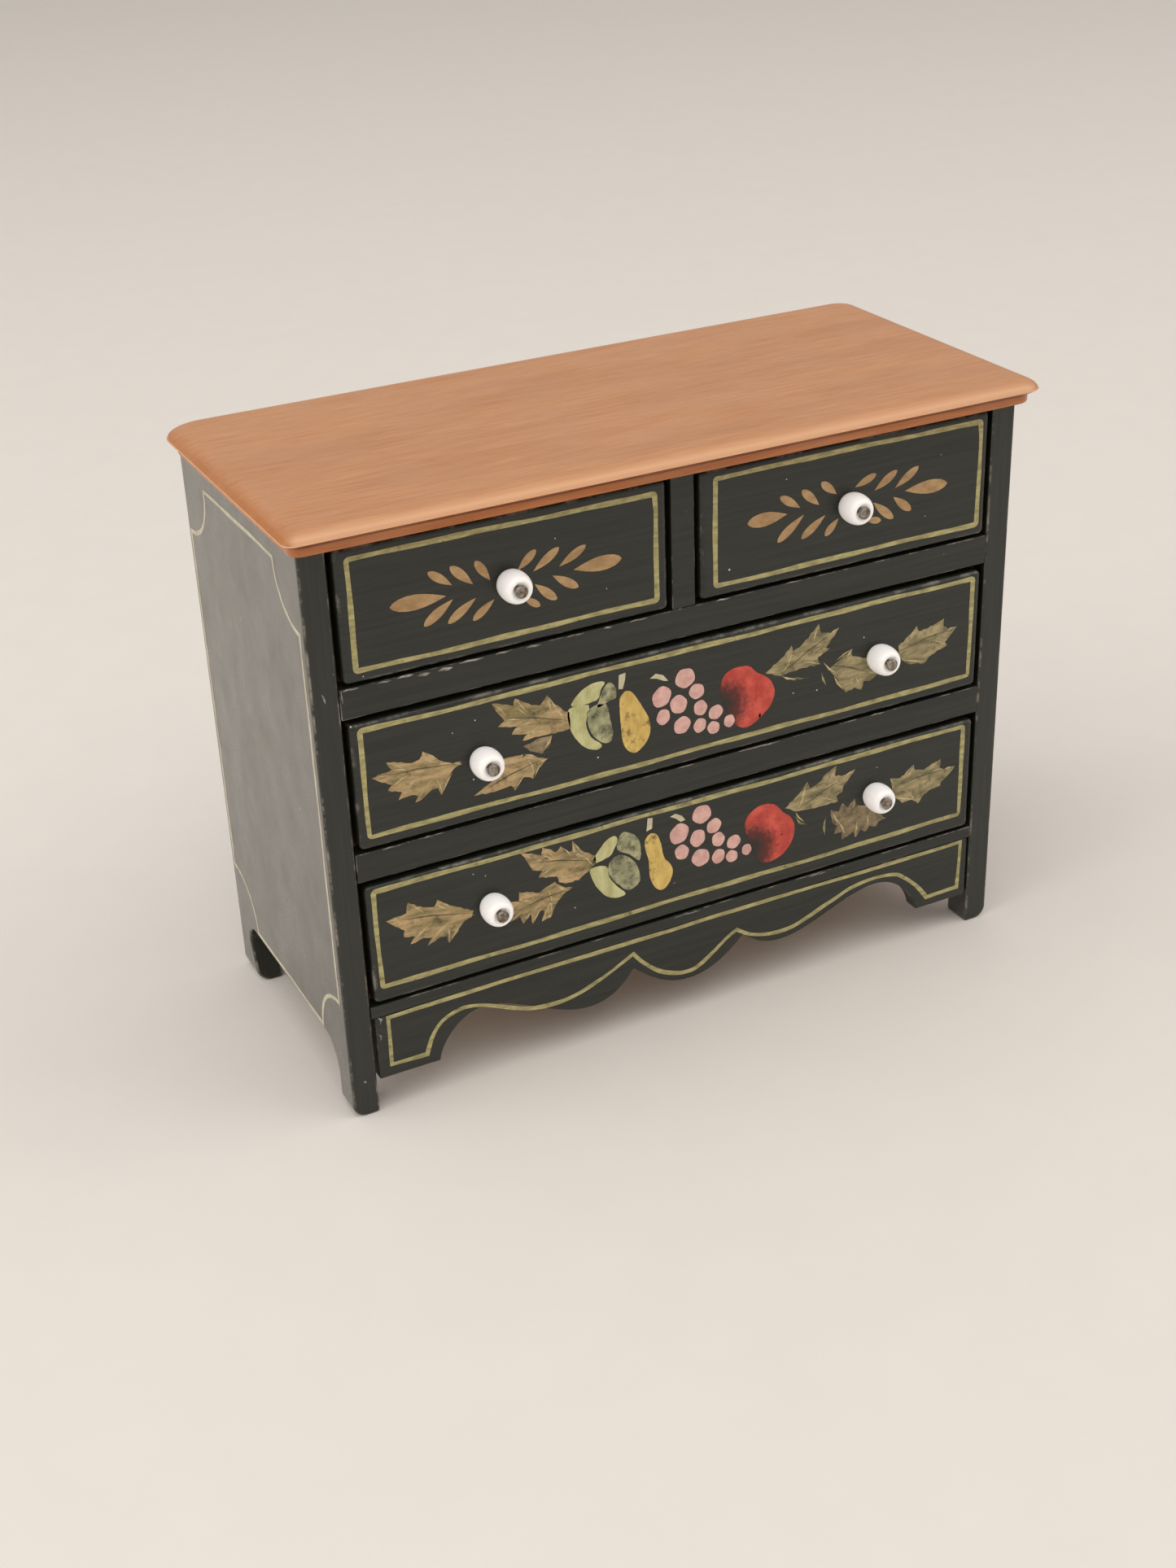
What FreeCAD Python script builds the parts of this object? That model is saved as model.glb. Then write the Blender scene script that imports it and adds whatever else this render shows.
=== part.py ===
import FreeCAD, Part
import Sketcher
import math
import os
import re

# Miniature chest of drawers: two small drawers over two long ones, glass-bead knobs held by pins.
# Millimetres. +X is the viewer's right, -Y the front, +Z up.
# The origin is the middle of the whole chest's outline, on the surface it stands on.

PARTS_FOLDER = "parts"
NEAR = 1e-4
DRILLING_TOLERANCE = 0.01

SIZES = {
    # carcass
    "carcass_width": 84.0,
    "carcass_depth": 36.3,
    "carcass_height": 66.5,
    "side_thickness": 3.0,
    "shelf_thickness": 3.4,
    "divider_thickness": 2.8,
    "floor_thickness": 1.5,
    "floor_top": 13.5,
    "back_thickness": 1.6,
    # top board
    "top_thickness": 2.5,
    "top_over_front": 2.9,
    "top_over_side": 1.9,
    "top_over_back": 0.8,
    "top_corner_round": 2.0,
    "top_upper_round": 0.6,
    "top_lower_round": 0.3,
    # arch in the side panels
    "arch_height": 7.6,
    "arch_front_round": 3.8,
    "arch_back_round": 2.6,
    "front_foot": 3.8,
    "back_foot": 3.4,
    "back_foot_toe": 1.8,
    # scalloped apron
    "apron_thickness": 2.0,
    "apron_end_gap": 0.35,
    "apron_drop": 4.1,
    "apron_lobe": 7.2,
    "apron_lobe_rise": 2.6,
    "apron_lobe_slope": 1.1,
    "apron_peak_run": 3.9,
    "apron_peak_height": 9.0,
    "apron_dip_height": 6.0,
    "apron_cusp_half": 7.2,
    "apron_cusp_height": 8.2,
    "apron_pendant_height": 4.5,
    # drawers
    "front_thickness": 2.4,
    "front_proud": 0.2,
    "front_edge_round": 0.3,
    "end_gap": 0.45,
    "under_gap": 0.25,
    "over_gap": 0.55,
    "rear_gap": 0.4,
    "box_thickness": 1.6,
    "box_step": 2.6,
    "box_end_inset": 0.3,
    "box_floor_thickness": 1.0,
    "box_floor_lift": 0.5,
    # knobs
    "bead_radius": 1.7,
    "bead_length": 3.0,
    "bead_bore": 0.45,
    "knob_from_end": 14.15,
    "knob_rise": 0.0,
    "low_knob_rise": 1.2,
    "pin_radius": 0.35,
    "pin_hole_ease": 0.02,
    "pin_grip": 2.0,
    "pin_point": 0.6,
    "pin_head_radius": 0.68,
    "pin_head_edge": 0.12,
    "pin_head_crown": 0.33,
}

# Scallop dips lie this share of the way from the cusp to the peak; the left one is cut wider.
LEFT_DIP_SHARE = 0.5
RIGHT_DIP_SHARE = 0.31

doc = FreeCAD.newDocument("chest_of_drawers")
sheet = doc.addObject("Spreadsheet::Sheet", "Sizes")
for row, (alias, number) in enumerate(SIZES.items(), start=1):
    sheet.set("A%d" % row, alias)
    sheet.set("B%d" % row, str(number))
    sheet.setAlias("B%d" % row, alias)
doc.recompute()


def sized(formula):
    """Put the sheet's name before each size named in a formula."""
    return re.sub(r"[a-z_]+", lambda word: ("Sizes." if word[0] in SIZES else "") + word[0], str(formula))


def value(formula):
    """Work out a formula of named sizes."""
    return float(sheet.evalExpression(sized(formula)))


def bind(thing, prop, formula):
    thing.setExpression(prop, sized(formula))


# Places worked out from the sizes
HEAD_HEIGHT = "(pin_head_edge + pin_head_crown)"
KNOB_OUT = "(front_proud + bead_length + %s)" % HEAD_HEIGHT
WHOLE_DEPTH = "(%s + carcass_depth + top_over_back)" % KNOB_OUT
FRONT = "(%s - %s / 2)" % (KNOB_OUT, WHOLE_DEPTH)
BACK = "(%s + carcass_depth)" % FRONT
DRAWER_FACE = "(%s - front_proud)" % FRONT
INNER_HALF = "(carcass_width / 2 - side_thickness)"
SHELF_DEPTH = "(carcass_depth - back_thickness)"
OPENING = "((carcass_height - floor_top - 2 * shelf_thickness) / 3)"
LOWER_SHELF = "(floor_top + %s)" % OPENING
UPPER_SHELF = "(%s + shelf_thickness + %s)" % (LOWER_SHELF, OPENING)
MIDDLE_FLOOR = "(%s + shelf_thickness)" % LOWER_SHELF
TOP_FLOOR = "(%s + shelf_thickness)" % UPPER_SHELF
FRONT_HEIGHT = "(%s - under_gap - over_gap)" % OPENING
BOX_LENGTH = "(%s + front_proud - front_thickness - rear_gap)" % SHELF_DEPTH
LONG_WIDTH = "(2 * %s - 2 * end_gap)" % INNER_HALF
SMALL_WIDTH = "(%s - divider_thickness / 2 - 2 * end_gap)" % INNER_HALF
SMALL_MIDDLE = "(divider_thickness / 2 + end_gap + %s / 2)" % SMALL_WIDTH
LONG_KNOB = "(%s / 2 - knob_from_end)" % LONG_WIDTH

pieces = []


def place(thing, x, y, z):
    for axis, formula in zip("xyz", (x, y, z)):
        bind(thing, "Placement.Base." + axis, formula)


def board(label, width, depth, height, x, y, z):
    """A plain sawn board: its size, and its left, front and lower corner."""
    box = doc.addObject("Part::Box", label)
    for prop, formula in (("Length", width), ("Width", depth), ("Height", height)):
        bind(box, prop, formula)
    place(box, x, y, z)
    pieces.append(box)
    return box


def new_body(label):
    body = doc.addObject("PartDesign::Body", label)
    pieces.append(body)
    return body


def sketch_on(body, role, name):
    sketch = body.newObject("Sketcher::SketchObject", name)
    plane = [feature for feature in body.Origin.OriginFeatures if feature.Role == role][0]
    sketch.AttachmentSupport = [(plane, "")]
    sketch.MapMode = "FlatFace"
    return sketch


def pin_point(sketch, edge, end, across, up):
    """Hold one sketch point at two formulas, or on an axis where the formula is 0."""
    for kind, formula, axis in (("DistanceX", across, -2), ("DistanceY", up, -1)):
        if formula == "0":
            sketch.addConstraint(Sketcher.Constraint("PointOnObject", edge, end, axis))
        else:
            index = sketch.addConstraint(Sketcher.Constraint(kind, -1, 1, edge, end, value(formula)))
            bind(sketch, "Constraints[%d]" % index, formula)


def outline(sketch, corners):
    """Draw a closed outline of (across, up[, radius]) corners.

    A radius makes the run to the next corner an arc of that size: positive turns anticlockwise.
    """
    spots = [FreeCAD.Vector(value(corner[0]), value(corner[1]), 0) for corner in corners]
    count = len(corners)
    starts = []
    ends = []
    for index, corner in enumerate(corners):
        start = spots[index]
        finish = spots[(index + 1) % count]
        if len(corner) == 2:
            edge = sketch.addGeometry(Part.LineSegment(start, finish), False)
            starts.append((edge, 1))
            ends.append((edge, 2))
            continue
        bend, formula = corner[2][0], corner[2][1:]
        radius = value(formula)
        chord = finish - start
        aside = FreeCAD.Vector(-chord.y, chord.x, 0).normalize()
        lift = math.sqrt(max(radius ** 2 - (chord.Length / 2) ** 2, 0.0))
        turn = 1 if bend == "+" else -1
        centre = (start + finish) / 2 + aside * lift * turn
        circle = Part.Circle(centre, FreeCAD.Vector(0, 0, 1), radius)
        first, last = (start, finish) if turn > 0 else (finish, start)
        from_angle = math.atan2(first.y - centre.y, first.x - centre.x)
        to_angle = math.atan2(last.y - centre.y, last.x - centre.x)
        if to_angle < from_angle:
            to_angle += 2 * math.pi
        edge = sketch.addGeometry(Part.ArcOfCircle(circle, from_angle, to_angle), False)
        starts.append((edge, 1 if turn > 0 else 2))
        ends.append((edge, 2 if turn > 0 else 1))
        limit = sketch.addConstraint(Sketcher.Constraint("Radius", edge, radius))
        bind(sketch, "Constraints[%d]" % limit, formula)
    for index, corner in enumerate(corners):
        previous = ends[index - 1]
        sketch.addConstraint(Sketcher.Constraint("Coincident", *previous, *starts[index]))
        pin_point(sketch, *starts[index], corner[0], corner[1])


def pad(body, sketch, length, reversed_way=False):
    feature = body.newObject("PartDesign::Pad", "Pad")
    feature.Profile = sketch
    feature.Reversed = reversed_way
    bind(feature, "Length", length)
    sketch.Visibility = False
    return feature


def edges_where(shape, test):
    return ["Edge%d" % number for number, edge in enumerate(shape.Edges, start=1) if test(edge.BoundBox)]


def round_edges(body, feature, test, radius):
    doc.recompute()
    fillet = body.newObject("PartDesign::Fillet", "Fillet")
    fillet.Base = (feature, edges_where(feature.Shape, test))
    bind(fillet, "Radius", radius)
    doc.recompute()
    return fillet


# --- Top board: rounded corners, upper edge rounded over, lower edge eased
def top_board():
    body = new_body("top_board")
    sketch = sketch_on(body, "XY_Plane", "TopOutline")
    half = "(carcass_width / 2 + top_over_side)"
    depth = "(top_over_front + carcass_depth + top_over_back)"
    outline(sketch, [("-" + half, "0"), (half, "0"), (half, depth), ("-" + half, depth)])
    slab = pad(body, sketch, "top_thickness")
    corners = round_edges(body, slab, lambda box: box.ZLength > NEAR, "top_corner_round")
    thickness = value("top_thickness")
    upper = round_edges(body, corners, lambda box: box.ZMin > thickness - NEAR, "top_upper_round")
    round_edges(body, upper, lambda box: box.ZMax < NEAR, "top_lower_round")
    place(body, "0", FRONT + " - top_over_front", "carcass_height")


# --- Side panels: one outline with the arch that leaves two feet, padded to the board's thickness
def side_panel(label, left_face):
    body = new_body(label)
    sketch = sketch_on(body, "YZ_Plane", "SideOutline")
    back_edge = "(carcass_depth - back_foot)"
    outline(sketch, [
        ("0", "0"),
        ("front_foot", "0"),
        ("front_foot", "arch_height - arch_front_round", "-arch_front_round"),
        ("front_foot + arch_front_round", "arch_height"),
        (back_edge + " - arch_back_round", "arch_height", "-arch_back_round"),
        (back_edge, "arch_height - arch_back_round"),
        (back_edge + " - back_foot_toe", "0"),
        ("carcass_depth", "0"),
        ("carcass_depth", "carcass_height"),
        ("0", "carcass_height"),
    ])
    pad(body, sketch, "side_thickness")
    place(body, left_face, FRONT, "0")


# --- Apron: hand-cut scallops, so its lower edge is three curves that meet at two cusps
def front_apron():
    half = value(INNER_HALF) - value("apron_end_gap")
    top = value("floor_top - floor_thickness")
    drop = value("apron_drop")
    lobe = half - value("apron_lobe")
    rise = value("apron_drop + apron_lobe_rise")
    slope = value("apron_lobe_slope")
    peak_run = value("apron_peak_run")
    peak = value("apron_peak_height")
    dip = value("apron_dip_height")
    cusp = value("apron_cusp_half")
    cusp_height = value("apron_cusp_height")
    front = value(FRONT)

    def spot(x, z):
        return FreeCAD.Vector(x, front, z)

    def curve(spots):
        line = Part.BSplineCurve()
        line.interpolate(spots)
        return line.toShape()

    def scallop(side, share):
        crest = lobe - peak_run
        trough = cusp + (crest - cusp) * share
        return [
            spot(side * lobe, drop),
            spot(side * (lobe - slope), rise),
            spot(side * crest, peak),
            spot(side * trough, dip),
            spot(side * cusp, cusp_height),
        ]

    left = scallop(-1, LEFT_DIP_SHARE)
    right = scallop(1, RIGHT_DIP_SHARE)
    pendant = [left[-1], spot(0, value("apron_pendant_height")), right[-1]]
    edges = [curve(left), curve(pendant), curve(right)]
    corners = [right[0], spot(half, drop), spot(half, top), spot(-half, top), spot(-half, drop), left[0]]
    edges += [Part.LineSegment(a, b).toShape() for a, b in zip(corners, corners[1:])]
    wire = Part.Wire(Part.sortEdges(edges)[0])
    apron = doc.addObject("Part::Feature", "front_apron")
    apron.Shape = Part.Face(wire).extrude(FreeCAD.Vector(0, value("apron_thickness"), 0))
    pieces.append(apron)


# --- The rest of the carcass is plain boards between the sides
def carcass():
    top_board()
    side_panel("side_panel_left", "-carcass_width / 2")
    side_panel("side_panel_right", "carcass_width / 2 - side_thickness")
    front_apron()
    left = "-" + INNER_HALF
    width = "2 * " + INNER_HALF
    board("back_panel", width, "back_thickness", "carcass_height - arch_height",
          left, BACK + " - back_thickness", "arch_height")
    board("upper_shelf", width, SHELF_DEPTH, "shelf_thickness", left, FRONT, UPPER_SHELF)
    board("lower_shelf", width, SHELF_DEPTH, "shelf_thickness", left, FRONT, LOWER_SHELF)
    board("bottom_board", width, SHELF_DEPTH, "floor_thickness", left, FRONT, "floor_top - floor_thickness")
    board("centre_divider", "divider_thickness", SHELF_DEPTH, OPENING,
          "-divider_thickness / 2", FRONT, TOP_FLOOR)


# --- A drawer: a thick front with pin holes and four thin boards behind it
def drawer_front(label, width, middle, low, knobs, knob_height):
    body = new_body(label)
    sketch = sketch_on(body, "XZ_Plane", "FrontOutline")
    half = "(%s / 2)" % width
    outline(sketch, [("-" + half, "0"), (half, "0"), (half, FRONT_HEIGHT), ("-" + half, FRONT_HEIGHT)])
    slab = pad(body, sketch, "front_thickness", reversed_way=True)
    holes = sketch_on(body, "XZ_Plane", "PinHoles")
    for across in knobs:
        circle = Part.Circle(FreeCAD.Vector(value(across), value(knob_height), 0),
                             FreeCAD.Vector(0, 0, 1), value("pin_radius + pin_hole_ease"))
        edge = holes.addGeometry(circle, False)
        pin_point(holes, edge, 3, across, knob_height)
        size = holes.addConstraint(Sketcher.Constraint("Radius", edge, circle.Radius))
        bind(holes, "Constraints[%d]" % size, "pin_radius + pin_hole_ease")
    doc.recompute()
    solid = slab.Shape.Volume
    pocket = body.newObject("PartDesign::Pocket", "PinHole")
    pocket.Profile = holes
    pocket.Type = 1
    pocket.Midplane = True
    holes.Visibility = False
    doc.recompute()
    drilled = len(knobs) * math.pi * value("pin_radius + pin_hole_ease") ** 2 * value("front_thickness")
    if abs(solid - pocket.Shape.Volume - drilled) > DRILLING_TOLERANCE * drilled:
        raise RuntimeError(label + ": the pin holes don't go through")
    hole_width = value("2 * (pin_radius + pin_hole_ease)")
    round_edges(body, pocket, lambda box: box.YMax < NEAR and box.DiagonalLength > 2 * hole_width,
                "front_edge_round")
    place(body, middle, DRAWER_FACE, low)


def drawer_box(name, width, middle, low):
    inside = "%s + front_thickness" % DRAWER_FACE
    floor = low + " + box_floor_lift"
    side_height = FRONT_HEIGHT + " - box_step"
    half = "(%s / 2 - box_end_inset)" % width
    between = "(2 * %s - 2 * box_thickness)" % half
    board(name + "_side_left", "box_thickness", BOX_LENGTH, side_height,
          "%s - %s" % (middle, half), inside, low)
    board(name + "_side_right", "box_thickness", BOX_LENGTH, side_height,
          "%s + %s - box_thickness" % (middle, half), inside, low)
    board(name + "_back", between, "box_thickness", side_height,
          "%s - %s / 2" % (middle, between), "%s + %s - box_thickness" % (inside, BOX_LENGTH), low)
    board(name + "_bottom", between, BOX_LENGTH + " - box_thickness", "box_floor_thickness",
          "%s - %s / 2" % (middle, between), inside, floor)


# --- Knobs: a bored bead, and a pin through it whose point stays inside the front
def bead(label, x, z):
    body = new_body(label)
    sketch = sketch_on(body, "XY_Plane", "BeadSection")
    half = "(bead_length / 2)"
    flat = "sqrt(bead_radius * bead_radius - %s * %s)" % (half, half)
    outline(sketch, [
        ("bead_bore", "-" + half),
        (flat, "-" + half, "+bead_radius"),
        (flat, half),
        ("bead_bore", half),
    ])
    revolve(body, sketch)
    place(body, x, DRAWER_FACE + " - bead_length / 2", z)


def pin(label, x, z):
    body = new_body(label)
    sketch = sketch_on(body, "XY_Plane", "PinSection")
    crown = "(pin_head_crown / 2 + pin_head_radius * pin_head_radius / (2 * pin_head_crown))"
    shank = "(bead_length + pin_grip)"
    outline(sketch, [
        ("0", "-" + HEAD_HEIGHT, "+" + crown),
        ("pin_head_radius", "-pin_head_edge"),
        ("pin_head_radius", "0"),
        ("pin_radius", "0"),
        ("pin_radius", shank + " - pin_point"),
        ("0", shank),
    ])
    revolve(body, sketch)
    place(body, x, DRAWER_FACE + " - bead_length", z)


def revolve(body, sketch):
    feature = body.newObject("PartDesign::Revolution", "Turned")
    feature.Profile = sketch
    feature.ReferenceAxis = (sketch, ["V_Axis"])
    feature.Angle = 360.0
    sketch.Visibility = False


def drawer(name, width, middle, low, knobs, rise):
    """knobs gives each knob's name and its place across the front, from the front's middle."""
    knob_height = "(%s / 2 + %s)" % (FRONT_HEIGHT, rise)
    low = "(%s + under_gap)" % low
    drawer_front(name + "_front", width, middle, low, [across for _, across in knobs], knob_height)
    drawer_box(name, width, middle, low)
    for knob, across in knobs:
        x = "%s + %s" % (middle, across)
        z = "%s + %s" % (low, knob_height)
        bead("%s_%s" % (knob, "bead"), x, z)
        pin("%s_%s" % (knob, "pin"), x, z)


carcass()
drawer("left_drawer", SMALL_WIDTH, "(-%s)" % SMALL_MIDDLE, TOP_FLOOR, [("left_knob", "0")], "knob_rise")
drawer("right_drawer", SMALL_WIDTH, SMALL_MIDDLE, TOP_FLOOR, [("right_knob", "0")], "knob_rise")
for name, low, rise in (("middle", MIDDLE_FLOOR, "knob_rise"), ("bottom", "floor_top", "low_knob_rise")):
    knobs = [(name + "_left_knob", "-" + LONG_KNOB), (name + "_right_knob", LONG_KNOB)]
    drawer(name + "_drawer", LONG_WIDTH, "0", low, knobs, rise)
doc.recompute()

for thing in doc.Objects:
    if {"Invalid", "Error"} & set(thing.State):
        raise RuntimeError("%s failed: %s" % (thing.Label, thing.State))
for piece in pieces:
    if piece.Shape.isNull() or not piece.Shape.isValid() or len(piece.Shape.Solids) != 1:
        raise RuntimeError(piece.Label + " is not one valid solid")

os.makedirs(PARTS_FOLDER, exist_ok=True)
for piece in pieces:
    piece.Shape.exportStep(os.path.join(PARTS_FOLDER, piece.Label + ".step"))
    box = piece.Shape.BoundBox
    print("%-26s x %7.2f %7.2f  y %7.2f %7.2f  z %6.2f %6.2f  volume %8.2f" % (
        piece.Label, box.XMin, box.XMax, box.YMin, box.YMax, box.ZMin, box.ZMax, piece.Shape.Volume))
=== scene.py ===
import math

import bpy
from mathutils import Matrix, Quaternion, Vector


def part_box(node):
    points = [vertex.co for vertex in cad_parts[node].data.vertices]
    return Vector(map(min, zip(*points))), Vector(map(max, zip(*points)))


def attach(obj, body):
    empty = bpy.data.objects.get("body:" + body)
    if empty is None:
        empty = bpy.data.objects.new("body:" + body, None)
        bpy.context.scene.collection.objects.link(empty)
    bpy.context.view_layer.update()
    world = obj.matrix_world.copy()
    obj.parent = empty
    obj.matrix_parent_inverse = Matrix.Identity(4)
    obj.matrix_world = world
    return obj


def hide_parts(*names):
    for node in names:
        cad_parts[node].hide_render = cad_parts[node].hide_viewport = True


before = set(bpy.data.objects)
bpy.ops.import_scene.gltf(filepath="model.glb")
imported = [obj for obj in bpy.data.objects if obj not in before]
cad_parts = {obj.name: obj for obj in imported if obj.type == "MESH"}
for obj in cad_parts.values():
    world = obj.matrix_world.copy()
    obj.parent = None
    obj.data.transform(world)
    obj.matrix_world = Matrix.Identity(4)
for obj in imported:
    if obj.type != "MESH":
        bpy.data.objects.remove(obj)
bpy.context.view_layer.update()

mm = 0.001

# ----------------------------------------------------------
# The bench. The little chest stands on a big sheet of warm white card under soft lamps,
# and is looked down on from the left.
bpy.context.scene.view_settings.view_transform = "Standard"
bpy.ops.object.select_all(action="DESELECT")
camera = bpy.data.objects.new("camera", bpy.data.cameras.new("camera"))
bpy.context.scene.collection.objects.link(camera)
bpy.context.scene.camera = camera
camera.data.lens = 49.1
camera.data.clip_start = 1 * mm
looked_at = Vector((-4.72, -1.57, 24.34)) * mm
distance = 248.5 * mm
turn = math.radians(-26.013)
rise = math.radians(28.082)
tilt = math.radians(-2.280)
back = Vector((math.sin(turn) * math.cos(rise), -math.cos(turn) * math.cos(rise), math.sin(rise)))
camera.location = looked_at + back * distance
camera.rotation_mode = "QUATERNION"
camera.rotation_quaternion = back.to_track_quat("Z", "Y") @ Quaternion((0, 0, 1), tilt)


def lamp(name, colour, place, aim, width, watts):
    light = bpy.data.lights.new(name, "AREA")
    light.size = width
    light.energy = watts
    light.color = colour
    made = bpy.data.objects.new(name, light)
    bpy.context.scene.collection.objects.link(made)
    made.location = place
    made.rotation_mode = "QUATERNION"
    made.rotation_quaternion = (Vector(place) - Vector(aim)).to_track_quat("Z", "Y")


lamp("window_lamp", (1.0, 0.985, 0.965), (-0.28, -0.30, 0.90), aim=(0, -0.03, 0.03), width=1.1, watts=4.7)
lamp("side_lamp", (1.0, 0.985, 0.97), (-0.95, 0.10, 0.50), aim=(-0.1, 0, 0), width=0.9, watts=3.3)
lamp("fill_lamp", (1.0, 0.98, 0.96), (0.80, -0.35, 0.70), aim=(0.08, 0, 0), width=1.0, watts=3.0)
world = bpy.data.worlds.new("pale_room")
bpy.context.scene.world = world
world.use_nodes = True
room = world.node_tree.nodes["Background"].inputs
room["Color"].default_value = (1.0, 0.95, 0.90, 1)
room["Strength"].default_value = 0.50


def tone(red, green, blue):
    return [(value / 255) ** 2.2 for value in (red, green, blue)] + [1]


def add(tree, kind, inputs=(), **settings):
    made = tree.nodes.new("ShaderNode" + kind)
    for key, value in settings.items():
        setattr(made, key, value)
    for key, value in dict(inputs).items():
        if isinstance(value, bpy.types.NodeSocket):
            tree.links.new(value, made.inputs[key])
        else:
            made.inputs[key].default_value = value
    return made


def new_finish(name, **fixed):
    finish = bpy.data.materials.new(name)
    finish.use_nodes = True
    shader = finish.node_tree.nodes["Principled BSDF"]
    for key, value in fixed.items():
        shader.inputs[key.replace("_", " ")].default_value = value
    return finish, finish.node_tree, shader


def grain(tree, size, detail=3.0, shift=0.0, roughness=0.55):
    # an uneven pattern whose patches measure size, in mm along x, y and z
    place = add(tree, "TexCoord").outputs["Object"]
    scale = [1 / (side * mm) for side in size]
    moved = add(tree, "Mapping", {"Vector": place, "Location": (shift, shift, shift), "Scale": scale})
    noise = {"Vector": moved.outputs[0], "Scale": 1.0, "Detail": detail, "Roughness": roughness}
    return add(tree, "TexNoise", noise).outputs["Fac"]


def reach(tree, value, low, high, start=0.0, end=1.0):
    made = {"Value": value, "From Min": low, "From Max": high, "To Min": start, "To Max": end}
    return add(tree, "MapRange", made).outputs[0]


def sums(tree, how, first, second=0.0):
    return add(tree, "Math", {0: first, 1: second}, operation=how).outputs[0]


def mix(tree, share, first, second):
    return add(tree, "Mix", {0: share, 6: first, 7: second}, data_type="RGBA").outputs[2]


def dress(tree, shader, colour, rough=None):
    tree.links.new(colour, shader.inputs["Base Color"])
    if rough is not None:
        tree.links.new(rough, shader.inputs["Roughness"])


def bumps(tree, shader, height, depth, strength=1.0):
    bump = add(tree, "Bump", {"Height": height, "Distance": depth * mm, "Strength": strength})
    tree.links.new(bump.outputs[0], shader.inputs["Normal"])


card, tree, shader = new_finish("card", Roughness=0.85)
paper = mix(tree, grain(tree, (9, 9, 9), 5), tone(226, 220, 213), tone(231, 225, 218))
dress(tree, shader, paper)
bumps(tree, shader, grain(tree, (1.2, 1.2, 1.2), 4), 0.02)
bpy.ops.mesh.primitive_plane_add(size=9)
floor = bpy.context.object
floor.name = "card_floor"
floor.data.materials.append(card)

# ----------------------------------------------------------
# The two side panels: thin close-grained boards with a low arch fretted out of the foot of
# each, edges and feet rubbed round with abrasive paper, brushed with satin green-black
# paint outside and left bare where only the drawers run.
PAINT = tone(31, 33, 28)
PAINT_THICK = tone(43, 45, 37)
PAINT_CLOUDY = tone(44, 43, 36)
PAINT_WORN_AND_HIGHLIT = tone(150, 143, 130)
PAINT_CHIP = tone(165, 158, 146)
BARE = tone(196, 160, 118)
BARE_FIBRE = tone(176, 138, 98)


def placed(tree):
    # the three parts of a point's place
    return add(tree, "SeparateXYZ", {0: add(tree, "TexCoord").outputs["Object"]}).outputs


def facing(tree):
    # the three parts of the way the surface faces
    return add(tree, "SeparateXYZ", {0: add(tree, "NewGeometry").outputs["Normal"]}).outputs


def arris(tree, along=None):
    # how near a point is to an eased edge, from the way its surface faces
    sides = [sums(tree, "ABSOLUTE", part) for part in facing(tree)]
    if along is not None:
        edge = sums(tree, "MULTIPLY", sides[along], sums(tree, "SUBTRACT", 1.0, sides[along]))
        return reach(tree, edge, 0.02, 0.24)
    flat = sums(tree, "MAXIMUM", sides[0], sums(tree, "MAXIMUM", sides[1], sides[2]))
    return reach(tree, flat, 0.985, 0.75)


def brushed_paint(name, strokes, edge=None, bare=None, rubbed=1.0):
    # strokes: size of the brush marks in mm; edge: the axis across the board, for its arrises;
    # bare: a function that gives the unpainted share; rubbed: how strongly the eased edges are paled, worn
    # paint and painted highlight together
    finish, tree, shader = new_finish(name, IOR=1.5)
    marks = grain(tree, strokes, 4)
    broad = grain(tree, (14, 14, 14), 3, 3.1)
    colour = mix(tree, reach(tree, marks, 0.35, 0.7), PAINT, PAINT_THICK)
    colour = mix(tree, reach(tree, broad, 0.45, 0.75, 0, 0.4), colour, PAINT_CLOUDY)
    patchy = reach(tree, grain(tree, (4.5, 4.5, 4.5), 7, 7.7, 0.72), 0.50, 0.62)
    # pale patches on the eased edges: worn paint and painted highlight together
    worn_and_highlit = sums(tree, "MULTIPLY", arris(tree, edge), patchy)
    colour = mix(tree, sums(tree, "MULTIPLY", worn_and_highlit, 0.75 * rubbed), colour, PAINT_WORN_AND_HIGHLIT)
    chips = reach(tree, grain(tree, (1.1, 1.1, 1.1), 2, 12.3), 0.765, 0.80, 0, 0.75)
    colour = mix(tree, chips, colour, PAINT_CHIP)
    rough = reach(tree, grain(tree, (3, 3, 3), 4, 5.0), 0.3, 0.7, 0.32, 0.39)
    dust = grain(tree, (0.5, 0.5, 0.5), 2, 9.0)
    height = sums(tree, "ADD", sums(tree, "MULTIPLY", marks, 0.7), dust)
    if bare is not None:
        share = bare(tree)
        fibres = grain(tree, (0.35, 9, 0.35), 4, 2.0)
        wood = mix(tree, reach(tree, fibres, 0.3, 0.7), BARE_FIBRE, BARE)
        colour = mix(tree, share, colour, wood)
        rough = add(tree, "Mix", {0: share, 2: rough, 3: 0.72}).outputs[0]
    dress(tree, shader, colour, rough)
    bumps(tree, shader, height, 0.025, 0.6)
    return finish


def set_mode(mode):
    bpy.ops.object.mode_set(mode=mode)


def pick(piece, kind, parts, wanted):
    # leaves the piece in edit mode with only the wanted edges or faces selected
    set_mode("EDIT")
    bpy.ops.mesh.select_mode(type=kind)
    bpy.ops.mesh.select_all(action="DESELECT")
    set_mode("OBJECT")
    for part in getattr(piece.data, parts):
        part.select = bool(wanted(part))
    set_mode("EDIT")


def pick_edges(piece, wanted):
    # the edges whose two ends, in mm, are both wanted
    points = piece.data.vertices
    pick(piece, "EDGE", "edges", lambda edge: all(wanted(points[i].co / mm) for i in edge.vertices))


def round_picked(size, steps):
    bpy.ops.mesh.bevel(offset=size * mm, segments=steps, affect="EDGES")
    set_mode("OBJECT")


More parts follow.
